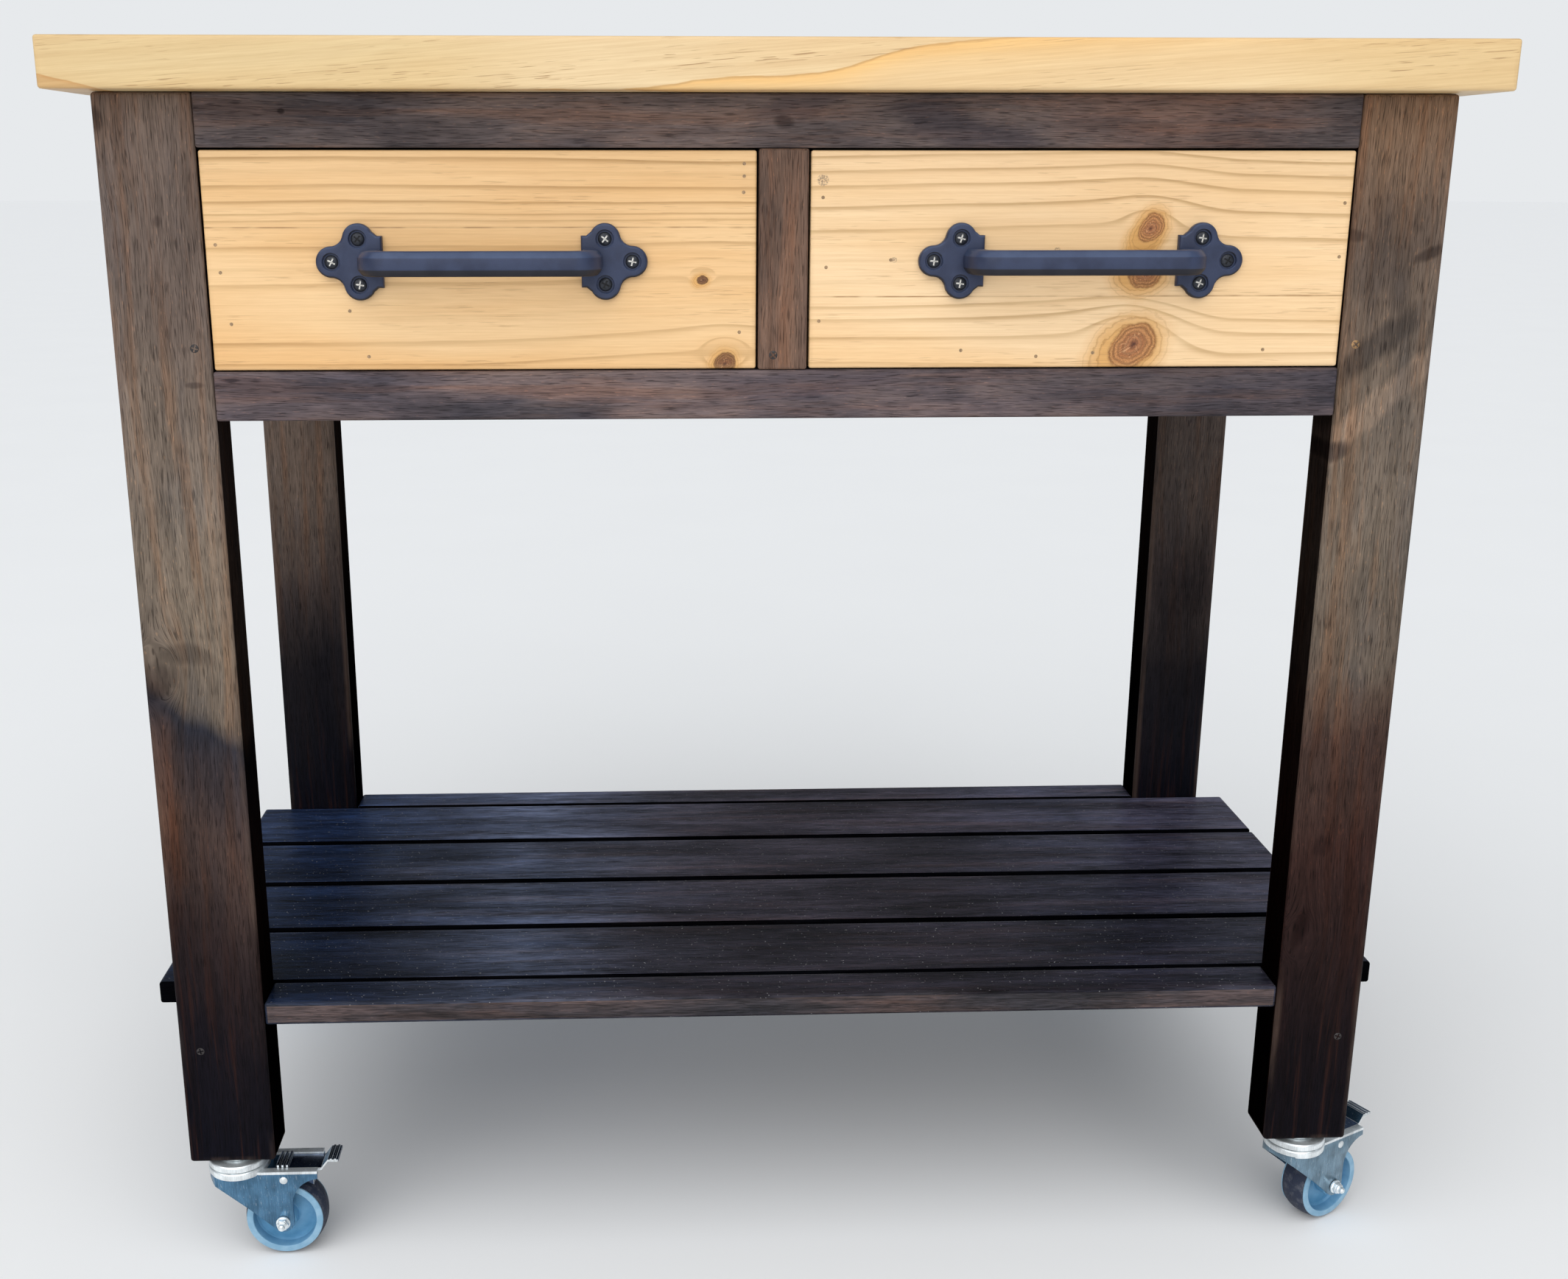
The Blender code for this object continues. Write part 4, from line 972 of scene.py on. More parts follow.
def dress_shelf():
    """The six slats: blue-black at the left, browner in the middle, painted sheen and painted sky reflection
    along them, painted light on the rear slats, painted shade in the gaps; a rubbed front edge with a painted
    highlight.
    """
    # The base's blue is partly painted sky reflection
    base = (0.016, 0.0185, 0.029)
    spread = ((0.0, 0.70), (0.35, 0.92), (0.65, 1.12), (1.0, 1.50))
    # Painted light: each slat's tones are scaled so the rear slats, in the top's shade, come out lighter
    slat_painted_light = (3.3, 3.1, 1.9, 1.75, 1.05, 0.95)
    # Painted sheen, a bright band, and painted sky reflection, blue at the left, along the slats
    ends = [(0.13, (0.38, 0.62, 1.02)), (0.20, (0.85, 0.98, 1.22)), (0.29, (2.75, 2.95, 3.10)),
            (0.40, (1.50, 1.25, 1.20)), (0.47, (1.05, 0.78, 0.74)), (0.66, (0.98, 0.70, 0.68)),
            (0.80, (1.15, 1.00, 1.08)), (0.95, (1.75, 1.50, 1.50))]
    # Painted shade in the gaps: the front faces of slats 1 to 5 are near black and matte
    gap_tones = even((0.0010, 0.0011, 0.0018), (0.0022, 0.0023, 0.0034))
    edge_tones = even((0.026, 0.025, 0.031), (0.046, 0.038, 0.042), (0.080, 0.056, 0.054))
    gap = stain("stain_shelf_gap_shade", gap_tones, specular=0.0, rub_and_highlight=0.0)
    edge = stain("stain_shelf_edge", edge_tones, gloss=0.40, specular=0.16, grain=2.0, coarse=1.6)
    for number, weight in enumerate(slat_painted_light):
        tones = [(mark, scaled(base, weight * share)) for mark, share in spread]
        # The slats' rubbed arrises carry a grey painted highlight line as well as wear
        look = stain(f"stain_shelf_{number + 1}", tones, lengthwise=ends, gloss=0.34, dust=0.7, grain=2.5,
                     coarse=2.0, rubbed_and_highlit_to=(0.060, 0.060, 0.066))
        shaded, past = (edge, FLAT_FACE) if number + 1 == len(slat_painted_light) else (gap, GAP_SIDE)
        plank(f"slat_{number + 1}", look, "frame", "xyz", (0.83 * number, 0.11 * number, 0.0),
              SLAT_ARRIS, marked="-y", shaded=shaded, past=past)


def drawer_fronts(height):
    """The two drawer fronts' pines, with the growth lines, knots, spots and seam that each shows."""
    left = front_pine(
        "drawer_pine_left", height, pale=(0.85, 0.582, 0.310), deep=(0.785, 0.490, 0.225),
        lines=[(0.030, 0.50, 0.035), (0.130, 0.66, 0.060), (0.245, 0.12, 0.050), (0.395, 0.42, 0.060),
               (0.470, 0.14, 0.050), (0.562, 0.52, 0.055), (0.680, 0.50, 0.025), (0.710, 0.60, 0.022),
               (0.766, 0.68, 0.035), (0.838, 0.66, 0.050), (0.905, 0.15, 0.040), (0.962, 0.80, 0.045)],
        knots=[(0.1500, 0.0605, 0.0040, 0.0032, 12.0, 0.0060, 0.42),
               (0.1655, 0.0035, 0.0080, 0.0070, 60.0, 0.0105, 0.56)],
        spots=[], seam=0.655, fall=(-0.02, 0.16, -0.007, 0.003))
    right = front_pine(
        "drawer_pine_right", height, pale=(0.90, 0.655, 0.392), deep=(0.85, 0.583, 0.315),
        lines=[(0.035, 0.35, 0.035), (0.151, 0.66, 0.045), (0.233, 0.70, 0.045), (0.290, 0.60, 0.035),
               (0.405, 0.16, 0.045), (0.500, 0.14, 0.050), (0.630, 0.66, 0.045), (0.733, 0.74, 0.045),
               (0.827, 0.70, 0.045), (0.894, 0.66, 0.040), (0.958, 0.70, 0.035)],
        knots=[(0.0450, 0.0880, 0.0105, 0.0074, 60.0, 0.0040, 0.80),
               (0.0482, 0.0955, 0.0110, 0.0078, 58.0, 0.0112, 1.0),
               (0.0462, 0.0640, 0.0118, 0.0100, 0.0, 0.0060, 0.90),
               (0.0405, 0.0152, 0.0180, 0.0140, 38.0, 0.0185, 0.98)],
        spots=[(-0.1789, 0.1270, 0.0045), (-0.0160, 0.0800, 0.0026), (-0.1290, 0.0740, 0.0022)],
        seam=0.335, fall=(0.03, 0.11, 0.013, 0.0045))
    return {"left": left, "right": right}


def dress_drawers():
    """Drawer fronts with their figured pine, the boxes behind them, and the runners."""
    low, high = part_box("drawer_left_front")
    height = high.z - low.z
    fronts = drawer_fronts(height)
    tones = {"pale": (0.74, 0.545, 0.330), "deep": (0.66, 0.455, 0.240), "late": (0.46, 0.27, 0.110)}
    plain = ring_pine("box_pine", spacing=0.0062, strength=0.55, **tones)
    for side, look in fronts.items():
        body = f"drawer_{side}"
        plank(f"{body}_front", look, body, "xzy", (0.0, height / 2, 0.0))
        plank(f"{body}_side_left", plain, body, "yzx", (0.4, 0.02, 0.06))
        plank(f"{body}_side_right", plain, body, "yzx", (1.3, -0.03, 0.07))
        plank(f"{body}_back", plain, body, "xzy", (2.2, 0.01, 0.08))
        plank(f"{body}_bottom", plain, body, "xyz", (3.4, 0.0, 0.05), BOTTOM_ARRIS)
    sawn = ring_pine("runner_pine", spacing=0.0058, strength=0.5, stored=False, **tones)
    for side in ("left", "right", "centre"):
        node = frame["nodes"][f"drawer_runner_{side}"]
        node.data.materials.clear()
        node.data.materials.append(sawn)


def plate_outline():
    """The three-lobed plate as (inward from the tip, up), tip at zero, lobes joined by hollow fillets."""
    tip = (LOBE_RADIUS, 0.0)
    upper = (LOBE_RADIUS + LOBE_ALONG, LOBE_ACROSS)
    apart = hypot(LOBE_ALONG, LOBE_ACROSS)
    lift = sqrt((LOBE_RADIUS + LOBE_FILLET) ** 2 - (apart / 2) ** 2)
    across = LOBE_ACROSS / apart
    along = LOBE_ALONG / apart
    hollow = ((tip[0] + upper[0]) / 2 - lift * across, LOBE_ACROSS / 2 + lift * along)
    from_tip = degrees(atan2(hollow[1] - tip[1], hollow[0] - tip[0]))
    from_upper = degrees(atan2(hollow[1] - upper[1], hollow[0] - upper[0])) % 360
    half = arc(tip, LOBE_RADIUS, 180, from_tip)
    half += arc(hollow, LOBE_FILLET, from_tip - 180, from_upper - 180)[1:-1]
    half += arc(upper, LOBE_RADIUS, from_upper, LOBE_STOP)
    half += [(PLATE_LENGTH - SHOULDER_STEP, SHOULDER_ACROSS), (PLATE_LENGTH, SHOULDER_ACROSS)]
    return half + [(x, -z) for x, z in reversed(half[1:])]


def plate_mesh(side):
    """One end plate of the pull, with its front edge rounded."""
    outline = [(side * (PULL_LENGTH / 2 - x), z) for x, z in plate_outline()]
    bm = bmesh.new()
    bm.from_mesh(prism("plate", outline, 0.0, -PLATE_THICKNESS, "Y"))
    front = [edge for edge in bm.edges if all(v.co.y < -PLATE_THICKNESS / 2 for v in edge.verts)]
    bmesh.ops.bevel(bm, geom=front, offset=PLATE_EDGE, segments=PLATE_EDGE_STEPS, affect="EDGES", profile=0.5)
    return mesh_of("plate", bm)


def rounded_corner(before, corner, after, reach):
    """Three points that round a corner of an outline."""
    middle = Vector(corner)
    first = middle + (Vector(before) - middle).normalized() * reach
    last = middle + (Vector(after) - middle).normalized() * reach
    return [tuple(first), tuple((first + last + 2 * middle) / 4), tuple(last)]


def bar_section(thickness):
    """The bar's section as (up, outward): wide chamfers on its outer side, every corner rounded."""
    tall = BAR_HEIGHT / 2
    deep = thickness / 2
    half = [(tall - BAR_INNER_CHAMFER, -deep), (tall, BAR_INNER_CHAMFER - deep),
            (tall, deep - BAR_OUTER_SLOPE), (tall - BAR_OUTER_CHAMFER, deep)]
    loop = half + [(-z, out) for z, out in reversed(half)]
    section = []
    for k, corner in enumerate(loop):
        reach = BAR_ROUND if corner[1] > 0 else BAR_INNER_CHAMFER / 3
        section += rounded_corner(loop[k - 1], corner, loop[(k + 1) % len(loop)], reach)
    return section


def bar_mesh():
    """The bowed grip, swept from foot to foot."""
    foot_x = PULL_LENGTH / 2 - FOOT_INSET
    rise = PULL_PROJECTION - BAR_THICKNESS / 2 - BAR_BEND
    curve = arc((foot_x - BAR_BEND, rise), BAR_BEND, 0, 90)
    half = [(foot_x, FOOT_START, FOOT_THICKNESS, 0)]
    for k, (x, out) in enumerate(curve):
        share = k / (len(curve) - 1)
        half.append((x, out, FOOT_THICKNESS + (BAR_THICKNESS - FOOT_THICKNESS) * share, 90 * share))
    stations = half + [(-x, out, thick, 180 - turn) for x, out, thick, turn in reversed(half)]
    bm = bmesh.new()
    rings = []
    for x, out, thick, turn in stations:
        lean = radians(turn)
        section = bar_section(thick)
        rings.append([bm.verts.new((x + n * cos(lean), -out - n * sin(lean), z)) for z, n in section])
    count = len(rings[0])
    for one, two in zip(rings, rings[1:]):
        for k in range(count):
            bm.faces.new((one[k], one[(k + 1) % count], two[(k + 1) % count], two[k]))
    bm.faces.new(rings[0])
    bm.faces.new(rings[-1])
    return mesh_of("bar", bm)


def pull_screw_places():
    """The six screws of a pull as (x, z) from its middle."""
    one_side = [(LOBE_RADIUS, 0.0)]
    one_side += [(LOBE_RADIUS + LOBE_ALONG, across) for across in (LOBE_ACROSS, -LOBE_ACROSS)]
    return [(side * (PULL_LENGTH / 2 - x), z) for side in (-1, 1) for x, z in one_side]


def pull_mesh(looks):
    """The cast pull, its back in the plane y = 0; its looks are for front, top with painted sky reflection
    and underside with painted shade.
    """
    whole = combined("pull", plate_mesh(-1), [plate_mesh(1), bar_mesh()], "UNION")
    rim = SINK_RADIUS + SINK_LIP
    sink = [(0, -SINK_DEPTH), (rim, -SINK_DEPTH), (rim, 0.0), (SINK_RADIUS, SINK_LIP),
            (SINK_RADIUS, SINK_DEPTH), (0, SINK_DEPTH)]
    cutter = turned("sink", sink, SMALL_TURN, "Y")
    cuts = [moved(cutter, (x, -PLATE_THICKNESS, z)) for x, z in pull_screw_places()]
    mesh = combined("pull", whole, cuts, "DIFFERENCE")

    def lean(face):
        """The look of a face by its lean."""
        return 1 if face.normal.z > PAINTED_LIGHT_LEAN else 2 if face.normal.z < -PAINTED_LIGHT_LEAN else 0
    return smooth(dressed(mesh, looks, lean))


def screw_mesh(name, radius, looks):
    """A cross-recessed screw head about the middle of its rim, facing -Y; the recess has the second look."""
    dome = [(0, SCREW_DOME), (0.45 * radius, 0.94 * SCREW_DOME), (0.75 * radius, 0.72 * SCREW_DOME),
            (radius - SCREW_EDGE, 0.42 * SCREW_DOME), (radius, 0.0), (radius, -SCREW_SKIRT),
            (0, -SCREW_SKIRT)]
    head = turned("head", dome, SMALL_TURN)
    arm = SLOT_REACH * radius
    low = SCREW_DOME - SLOT_DEPTH
    cross = []
    for a, b in ((arm, SLOT_WIDTH / 2), (SLOT_WIDTH / 2, arm)):
        cross.append(prism("slot", [(-a, -b), (a, -b), (a, b), (-a, b)], low, 3 * SCREW_DOME, "Z"))
    mesh = combined(name, head, cross, "DIFFERENCE")

    def recess(face):
        """The second look for a face of the cross."""
        floor = abs(face.center.z - low) < 0.05 * SLOT_DEPTH
        wall = abs(face.normal.z) < 0.2 and face.center.z > low
        return 1 if (floor or wall) and hypot(*face.center.xy) < arm else 0
    dressed(mesh, looks, recess)
    mesh.transform(Matrix.Rotation(pi / 2, 4, "X"))
    return smooth(mesh)


def dress_pulls():
    """The two cast pulls and their screws."""
    # Upward faces get painted sky reflection, downward faces painted shade
    mesh = pull_mesh([cast_coat("cast_front", (0.021, 0.029, 0.064), (0.033, 0.045, 0.092), 0.46),
                      cast_coat("cast_painted_reflection", (0.026, 0.043, 0.098), (0.042, 0.064, 0.128), 0.38),
                      cast_coat("cast_painted_shade", (0.014, 0.0145, 0.022), (0.023, 0.023, 0.031), 0.58)])
    coat = plain_metal("screw_black", (0.024, 0.027, 0.036), 0.4, 0.36)
    # Painted shade in the cross recesses of the unworn pull screws
    recess_shade = plain_metal("screw_recess_shade", (0.006, 0.006, 0.008), 0.2, 0.60)
    bright = plain_metal("screw_worn", (0.60, 0.58, 0.54), 1.0, 0.34)
    worn = screw_mesh("pull_screw_worn", PULL_SCREW_RADIUS, [coat, bright])
    fresh = screw_mesh("pull_screw", PULL_SCREW_RADIUS, [coat, recess_shade])
    turns = {"left": (28, 40, 10, 12, 38, 25), "right": (5, 15, 8, 30, 8, 20)}
    unworn = {"left": (1, 5), "right": (3,)}
    depth = SINK_DEPTH - PLATE_THICKNESS - PULL_SCREW_SEAT
    for side in ("left", "right"):
        node = f"drawer_{side}_pull"
        low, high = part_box(node)
        middle = Vector(((low.x + high.x) / 2, high.y, (low.z + high.z) / 2))
        piece(f"{node}_cast", mesh, [], f"drawer_{side}", Matrix.Translation(middle), [node])
        for number, (x, z) in enumerate(pull_screw_places()):
            at = Matrix.Translation(middle + Vector((x, depth, z)))
            at = at @ Matrix.Rotation(radians(turns[side][number]), 4, "Y")
            head = fresh if number in unworn[side] else worn
            piece(f"{node}_screw_{number + 1}", head, [], f"drawer_{side}", at)


def dress_frame_screws():
    """Screws in the legs, front and rear, and in the divider."""
    dark = plain_metal("screw_dark", (0.040, 0.034, 0.034), 0.3, 0.52)
    # Painted shade in the frame screws' cross recesses
    pit_shade = plain_metal("screw_pit_shade", (0.020, 0.018, 0.018), 0.3, 0.60)
    brass = plain_metal("screw_brass", (0.42, 0.25, 0.12), 0.9, 0.40)
    stained = screw_mesh("frame_screw", FRAME_SCREW_RADIUS, [dark, pit_shade])
    yellow = screw_mesh("frame_screw_yellow", FRAME_SCREW_RADIUS, [brass, pit_shade])
    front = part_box("leg_front_left")[0].y + SCREW_DOME - FRAME_SCREW_PROUD
    places = {"leg_left_upper": (-0.4049, 0.7242, stained), "leg_right_upper": (0.4045, 0.7242, yellow),
              "leg_left_lower": (-0.4443, 0.1872, stained), "leg_right_lower": (0.4453, 0.1823, stained),
              "divider": (-0.0064, 0.7183, stained)}
    for number, (name, (x, z, head)) in enumerate(places.items()):
        turn = Matrix.Rotation(radians(FIRST_SCREW_TURN + NEXT_SCREW_TURN * number), 4, "Y")
        ends = {"front": 1} if name == "divider" else {"front": 1, "rear": -1}
        for end, sign in ends.items():
            facing = Matrix.Rotation(0.0 if sign > 0 else pi, 4, "Z")
            at = Matrix.Translation((x, sign * front, z)) @ facing @ turn
            piece(f"screw_{end}_{name}", head, [], "frame", at)


def dress_brads():
    """Brads in the drawer fronts, as (x, z)."""
    brads = {
        "left": [(-0.3854, 0.7937), (-0.3834, 0.7752), (-0.3786, 0.7406), (-0.0270, 0.8468),
                 (-0.0270, 0.8386), (-0.0274, 0.8280), (-0.0301, 0.7341), (-0.2861, 0.7182),
                 (-0.2975, 0.7493)],
        "right": [(0.0268, 0.8246), (0.0296, 0.7780), (0.0742, 0.7829), (0.0251, 0.7415), (0.1250, 0.7210),
                  (0.1781, 0.7167), (0.2181, 0.7191), (0.3387, 0.7208), (0.3875, 0.8207), (0.3870, 0.7845)],
    }
    steel = plain_metal("brad_steel", (0.40, 0.25, 0.13), 0.1, 0.45)
    dome = [(0, -BRAD_PROUD), (0.6 * BRAD_RADIUS, -0.6 * BRAD_PROUD), (BRAD_RADIUS, -BRAD_PROUD),
            (BRAD_RADIUS, BRAD_LENGTH), (0, BRAD_LENGTH)]
    head = turned("brad", dome, BRAD_TURN, "Y")
    for side, spots in brads.items():
        bm = bmesh.new()
        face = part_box(f"drawer_{side}_front")[0].y
        for x, z in spots:
            bm.from_mesh(moved(head, (x, face, z)))
        piece(f"drawer_{side}_brads", smooth(mesh_of("brads", bm)), [steel], f"drawer_{side}")


def stem_mesh():
    """Stem, cap, upper race and kingpin, turned in one."""
    top = FOOT_Z + STEM_LENGTH
    foot = FOOT_Z - SEAT_GAP
    race_top = foot - CAP_HEIGHT
    race_low = race_top - RACE_HEIGHT
    head_top = CROWN_LOW_Z - RUN_GAP
    head_low = head_top - KINGPIN_HEAD_HEIGHT
    cap = arc((CAP_RADIUS - CAP_ROUND, race_top + CAP_ROUND), CAP_ROUND, 0, -90, EDGE_FACET)
    shoulder = arc((RACE_RADIUS - RACE_ROUND, race_top - RACE_ROUND), RACE_ROUND, 90, 0, RACE_FACET)
    profile = [(0, top), (STEM_RADIUS, top), (STEM_RADIUS, foot), (CAP_RADIUS - CAP_EDGE, foot),
               (CAP_RADIUS, foot - CAP_EDGE), *cap, *shoulder, (RACE_RADIUS, race_low + CAP_EDGE),
               (RACE_RADIUS - CAP_EDGE, race_low), (KINGPIN_RADIUS, race_low), (KINGPIN_RADIUS, head_top),
               (KINGPIN_HEAD_RADIUS, head_top), (KINGPIN_RADIUS, head_low), (0, head_low)]
    return smooth(turned("stem", profile, FINE_TURN), 40.0)


def fork_profile(tail):
    """The fork's side outline as (behind the swivel, up), down to the bosses round the axle."""
    ahead = -CROWN_RADIUS - FORK_SHEET
    tail_low = CHEEK_TOP_Z - TAIL_HEIGHT
    throat = tail - TRAIL - BOSS_RADIUS
    outline = [(ahead, CROWN_LOW_Z), (ahead, CHEEK_TOP_Z), (tail, CHEEK_TOP_Z)]
    outline += arc((tail, tail_low - throat), throat, 90, 180)
    outline += arc((TRAIL, WHEEL_RADIUS), BOSS_RADIUS, 0, -BOSS_TURN)
    return outline + [(TRAIL - KNEE_BEHIND_AXLE, WHEEL_RADIUS + KNEE_ABOVE_AXLE)]


def fork_wall(tail):
    """The fork's wall seen from above: two cheeks joined by a round front."""
    outer = CROWN_RADIUS - RUN_GAP
    rows = []
    for radius, across in ((outer, FORK_WIDTH / 2), (outer - FORK_SHEET, FORK_INSIDE / 2)):
        edge = degrees(atan2(across, -sqrt(radius ** 2 - across ** 2)))
        rows.append([(tail, across)] + arc((0, 0), radius, edge, 360 - edge, WALL_FACET) + [(tail, -across)])
    return rows[0] + rows[1][::-1]


def fork_flanges(tail):
    """The edges turned in along the tops of the cheeks, from the crown to the tail."""
    low = CHEEK_TOP_Z - FORK_SHEET
    outline = [(0, low), (tail, low), (tail, CHEEK_TOP_Z), (0, CHEEK_TOP_Z)]
    inside = FORK_INSIDE / 2 - FORK_FLANGE
    return [prism("flange", outline, side * FORK_WIDTH / 2, side * inside, "Y") for side in (-1, 1)]


def crown_mesh():
    """The fork's crown with the lower race."""
    hole = KINGPIN_RADIUS + RUN_GAP
    inner = CROWN_RADIUS - RACE_ROUND
    crown = [(hole, CROWN_TOP_Z), *arc((inner, CROWN_TOP_Z - RACE_ROUND), RACE_ROUND, 90, 0, RACE_FACET),
             *arc((inner, CROWN_LOW_Z + RACE_ROUND), RACE_ROUND, 0, -90, RACE_FACET), (hole, CROWN_LOW_Z)]
    return turned("crown", crown, FINE_TURN)


def pin_mesh():
    """The brake's pin with its two round heads, at its place on the fork."""
    cheek = FORK_WIDTH / 2
    head = [(0, cheek + PIN_HEAD_HEIGHT), (0.6 * PIN_HEAD_RADIUS, cheek + 0.85 * PIN_HEAD_HEIGHT),
            (PIN_HEAD_RADIUS, cheek + 0.2 * PIN_HEAD_HEIGHT), (PIN_HEAD_RADIUS, cheek - FORK_SHEET / 2),
            (PIN_RADIUS, cheek - FORK_SHEET / 2)]
    return moved(turned("pin", mirrored_profile(head), SMALL_TURN, "Y"), (PIN_X, 0, PIN_Z))


def fork_mesh(tail, braked, looks):
    """Pressed fork: trimmed wall, flanges, crown and the brake's pin; a painted highlight on the top edges,
    and the race and the pin's heads bright.
    """
    wall = prism("fork", fork_wall(tail), WHEEL_RADIUS - 2 * BOSS_RADIUS, CHEEK_TOP_Z, "Z")
    trim = prism("trim", fork_profile(tail + FORK_SHEET), -FORK_WIDTH, FORK_WIDTH, "Y")
    sides = combined("fork", wall, [trim], "INTERSECT")
    sides = combined("fork", sides, fork_flanges(tail), "UNION")
    bore = moved(drill(AXLE_RADIUS + SEAT_GAP), (TRAIL, 0, WHEEL_RADIUS))
    sides = softened("fork", combined("fork", sides, [bore], "DIFFERENCE"), FORK_EDGE)
    added = [crown_mesh(), pin_mesh()] if braked else [crown_mesh()]
    mesh = combined("fork", sides, added, "UNION")

    def rubbed_and_highlit(face):
        """The bright look for the top edge, a painted highlight, and for the race and the pin's heads."""
        x, y, z = face.center
        ring = z > CROWN_LOW_Z + RACE_ROUND and hypot(x, y) > CROWN_RADIUS - RACE_ROUND
        return 1 if z > CHEEK_TOP_Z - FORK_EDGE or ring or abs(y) > FORK_WIDTH / 2 + PIN_PROUD else 0
    return smooth(dressed(mesh, looks, rubbed_and_highlit), 30.0)


def axle_mesh():
    """Axle bolt about its own middle: six-sided head at +Y, nut and bolt end at -Y, a washer under each."""
    seat = FORK_WIDTH / 2 + SEAT_GAP
    top = seat + NUT_HEIGHT
    end = top + BOLT_END
    shaft = [(0, seat + NUT_HEIGHT / 2), (AXLE_RADIUS, seat + NUT_HEIGHT / 2),
             (AXLE_RADIUS, BOLT_POINT - end), (0.6 * AXLE_RADIUS, -end), (0, -end)]
    collar = NUT_RADIUS - COLLAR_INSET
    collar_low = top - COLLAR_HEIGHT
    rings = [(0, top), (collar - COLLAR_EDGE, top), (collar, top - COLLAR_EDGE),
             (collar, collar_low - COLLAR_LAP), (0, collar_low - COLLAR_LAP)]
    washer = plug(NUT_RADIUS + WASHER_LAP, seat, seat + WASHER_THICKNESS)
    parts = []
    for turn in (0, pi):
        nut = turned("nut", plug(NUT_RADIUS, seat, collar_low), HEX_TURN, "Y")
        for made in (softened("nut", nut, NUT_EDGE), turned("collar", rings, SMALL_TURN, "Y"),
                     turned("washer", washer, SMALL_TURN, "Y")):
            if turn:
                made.transform(Matrix.Rotation(turn, 4, "Z"))
            parts.append(made)
    return smooth(combined("axle", turned("shaft", shaft, SMALL_TURN, "Y"), parts, "UNION"), 28.0)


def mirrored_profile(half):
    """A profile of (radius, across) and its mirror image, as one loop."""
    return half + [(r, -y) for r, y in reversed(half)]


def rim_mesh():
    """Dished plastic rim with its stepped web, hub and the lips that hold the tyre, turned about the axle."""
    hub = FORK_INSIDE / 2 - RUN_GAP
    edge = WHEEL_WIDTH / 2
    web = RIM_WEB / 2
    dish = RIM_RADIUS - RIM_RING
    lip = WHEEL_RADIUS - TYRE_CROWN
    half = [(AXLE_RADIUS + SEAT_GAP, hub), (HUB_RADIUS - RIM_ROUND, hub), (HUB_RADIUS, hub - RIM_ROUND),
            (HUB_RADIUS + HUB_DRAFT, web + HUB_FILLET), (HUB_RADIUS + HUB_DRAFT + HUB_FILLET, web),
            (HUB_STEP, web), (HUB_STEP + WEB_STEP_RUN, web - WEB_STEP),
            (dish - DISH_DRAFT - WEB_STEP_RUN, web - WEB_STEP), (dish - DISH_DRAFT, web + RIM_ROUND),
            *arc((dish + RIM_ROUND, edge - RIM_ROUND), RIM_ROUND, 180, 90, EDGE_FACET),
            *arc((lip - RIM_ROUND, edge - RIM_ROUND), RIM_ROUND, 90, 0, EDGE_FACET),
            (lip, edge - RIM_LIP), (RIM_RADIUS, edge - RIM_LIP)]
    return smooth(turned("rim", mirrored_profile(half), FINE_TURN, "Y"), 34.0)


def tyre_mesh():
    """Crowned tread between the rim's lips, with a thin mould line."""
    edge = WHEEL_WIDTH / 2 - RIM_LIP - SEAT_GAP
    shares = [1 - k / TYRE_STEPS for k in range(TYRE_STEPS)]
    half = [(RIM_RADIUS + SEAT_GAP, edge)]
    half += [(WHEEL_RADIUS - TYRE_CROWN * share ** TYRE_BULGE, edge * share) for share in shares]
    half += [(WHEEL_RADIUS, 2 * MOULD_LINE), (WHEEL_RADIUS - MOULD_DEPTH, MOULD_LINE)]
    return smooth(turned("tyre", mirrored_profile(half), FINE_TURN, "Y"), 40.0)


def shoe_outline(plate_z):
    """The brake shoe about the pin: with the pedal pressed it stops just short of the tyre."""
    lift = Matrix.Rotation(radians(BRAKE_TRAVEL), 2)
    axle = (TRAIL - PIN_X, WHEEL_RADIUS - PIN_Z)
    pressed = arc(axle, WHEEL_RADIUS + SHOE_GAP, 90 - SHOE_START, 90 - SHOE_STOP, SHOE_FACET)
    face = [tuple(lift @ Vector(p)) for p in pressed]
    return face + [(face[-1][0], plate_z), (face[0][0], plate_z)]


def ribs(start, stop, level, count, proud):
    """The upper line of a ribbed length, from start to stop, as (along, up)."""
    step = (stop - start) / (2 * count + 1)
    line = []
    for k in range(count):
        near = start + (2 * k + 1) * step
        line += [(near, level), (near, level + proud), (near + step, level + proud), (near + step, level)]
    return line


def pedal_profile(low, top):
    """The pedal's side outline about its pin: plate with a ribbed pad, then a rise to the ribbed tread."""
    front = -PEDAL_FRONT
    bend = BRAKED_TAIL + FORK_SHEET - PIN_X
    tread = bend + TREAD_RUN
    tip = PEDAL_LENGTH - PIN_X
    upper = [(front, top)] + ribs(front, front + PAD_LENGTH, top, PAD_RIBS, PAD_RIB)
    upper += [(bend, top), (tread, top + TREAD_RISE)]
    upper += ribs(tread, tip, top + TREAD_RISE, TREAD_RIBS, TREAD_RIB) + [(tip, top + TREAD_RISE)]
    return upper + [(tip, low + TREAD_RISE), (tread, low + TREAD_RISE), (bend, low), (front, low)]


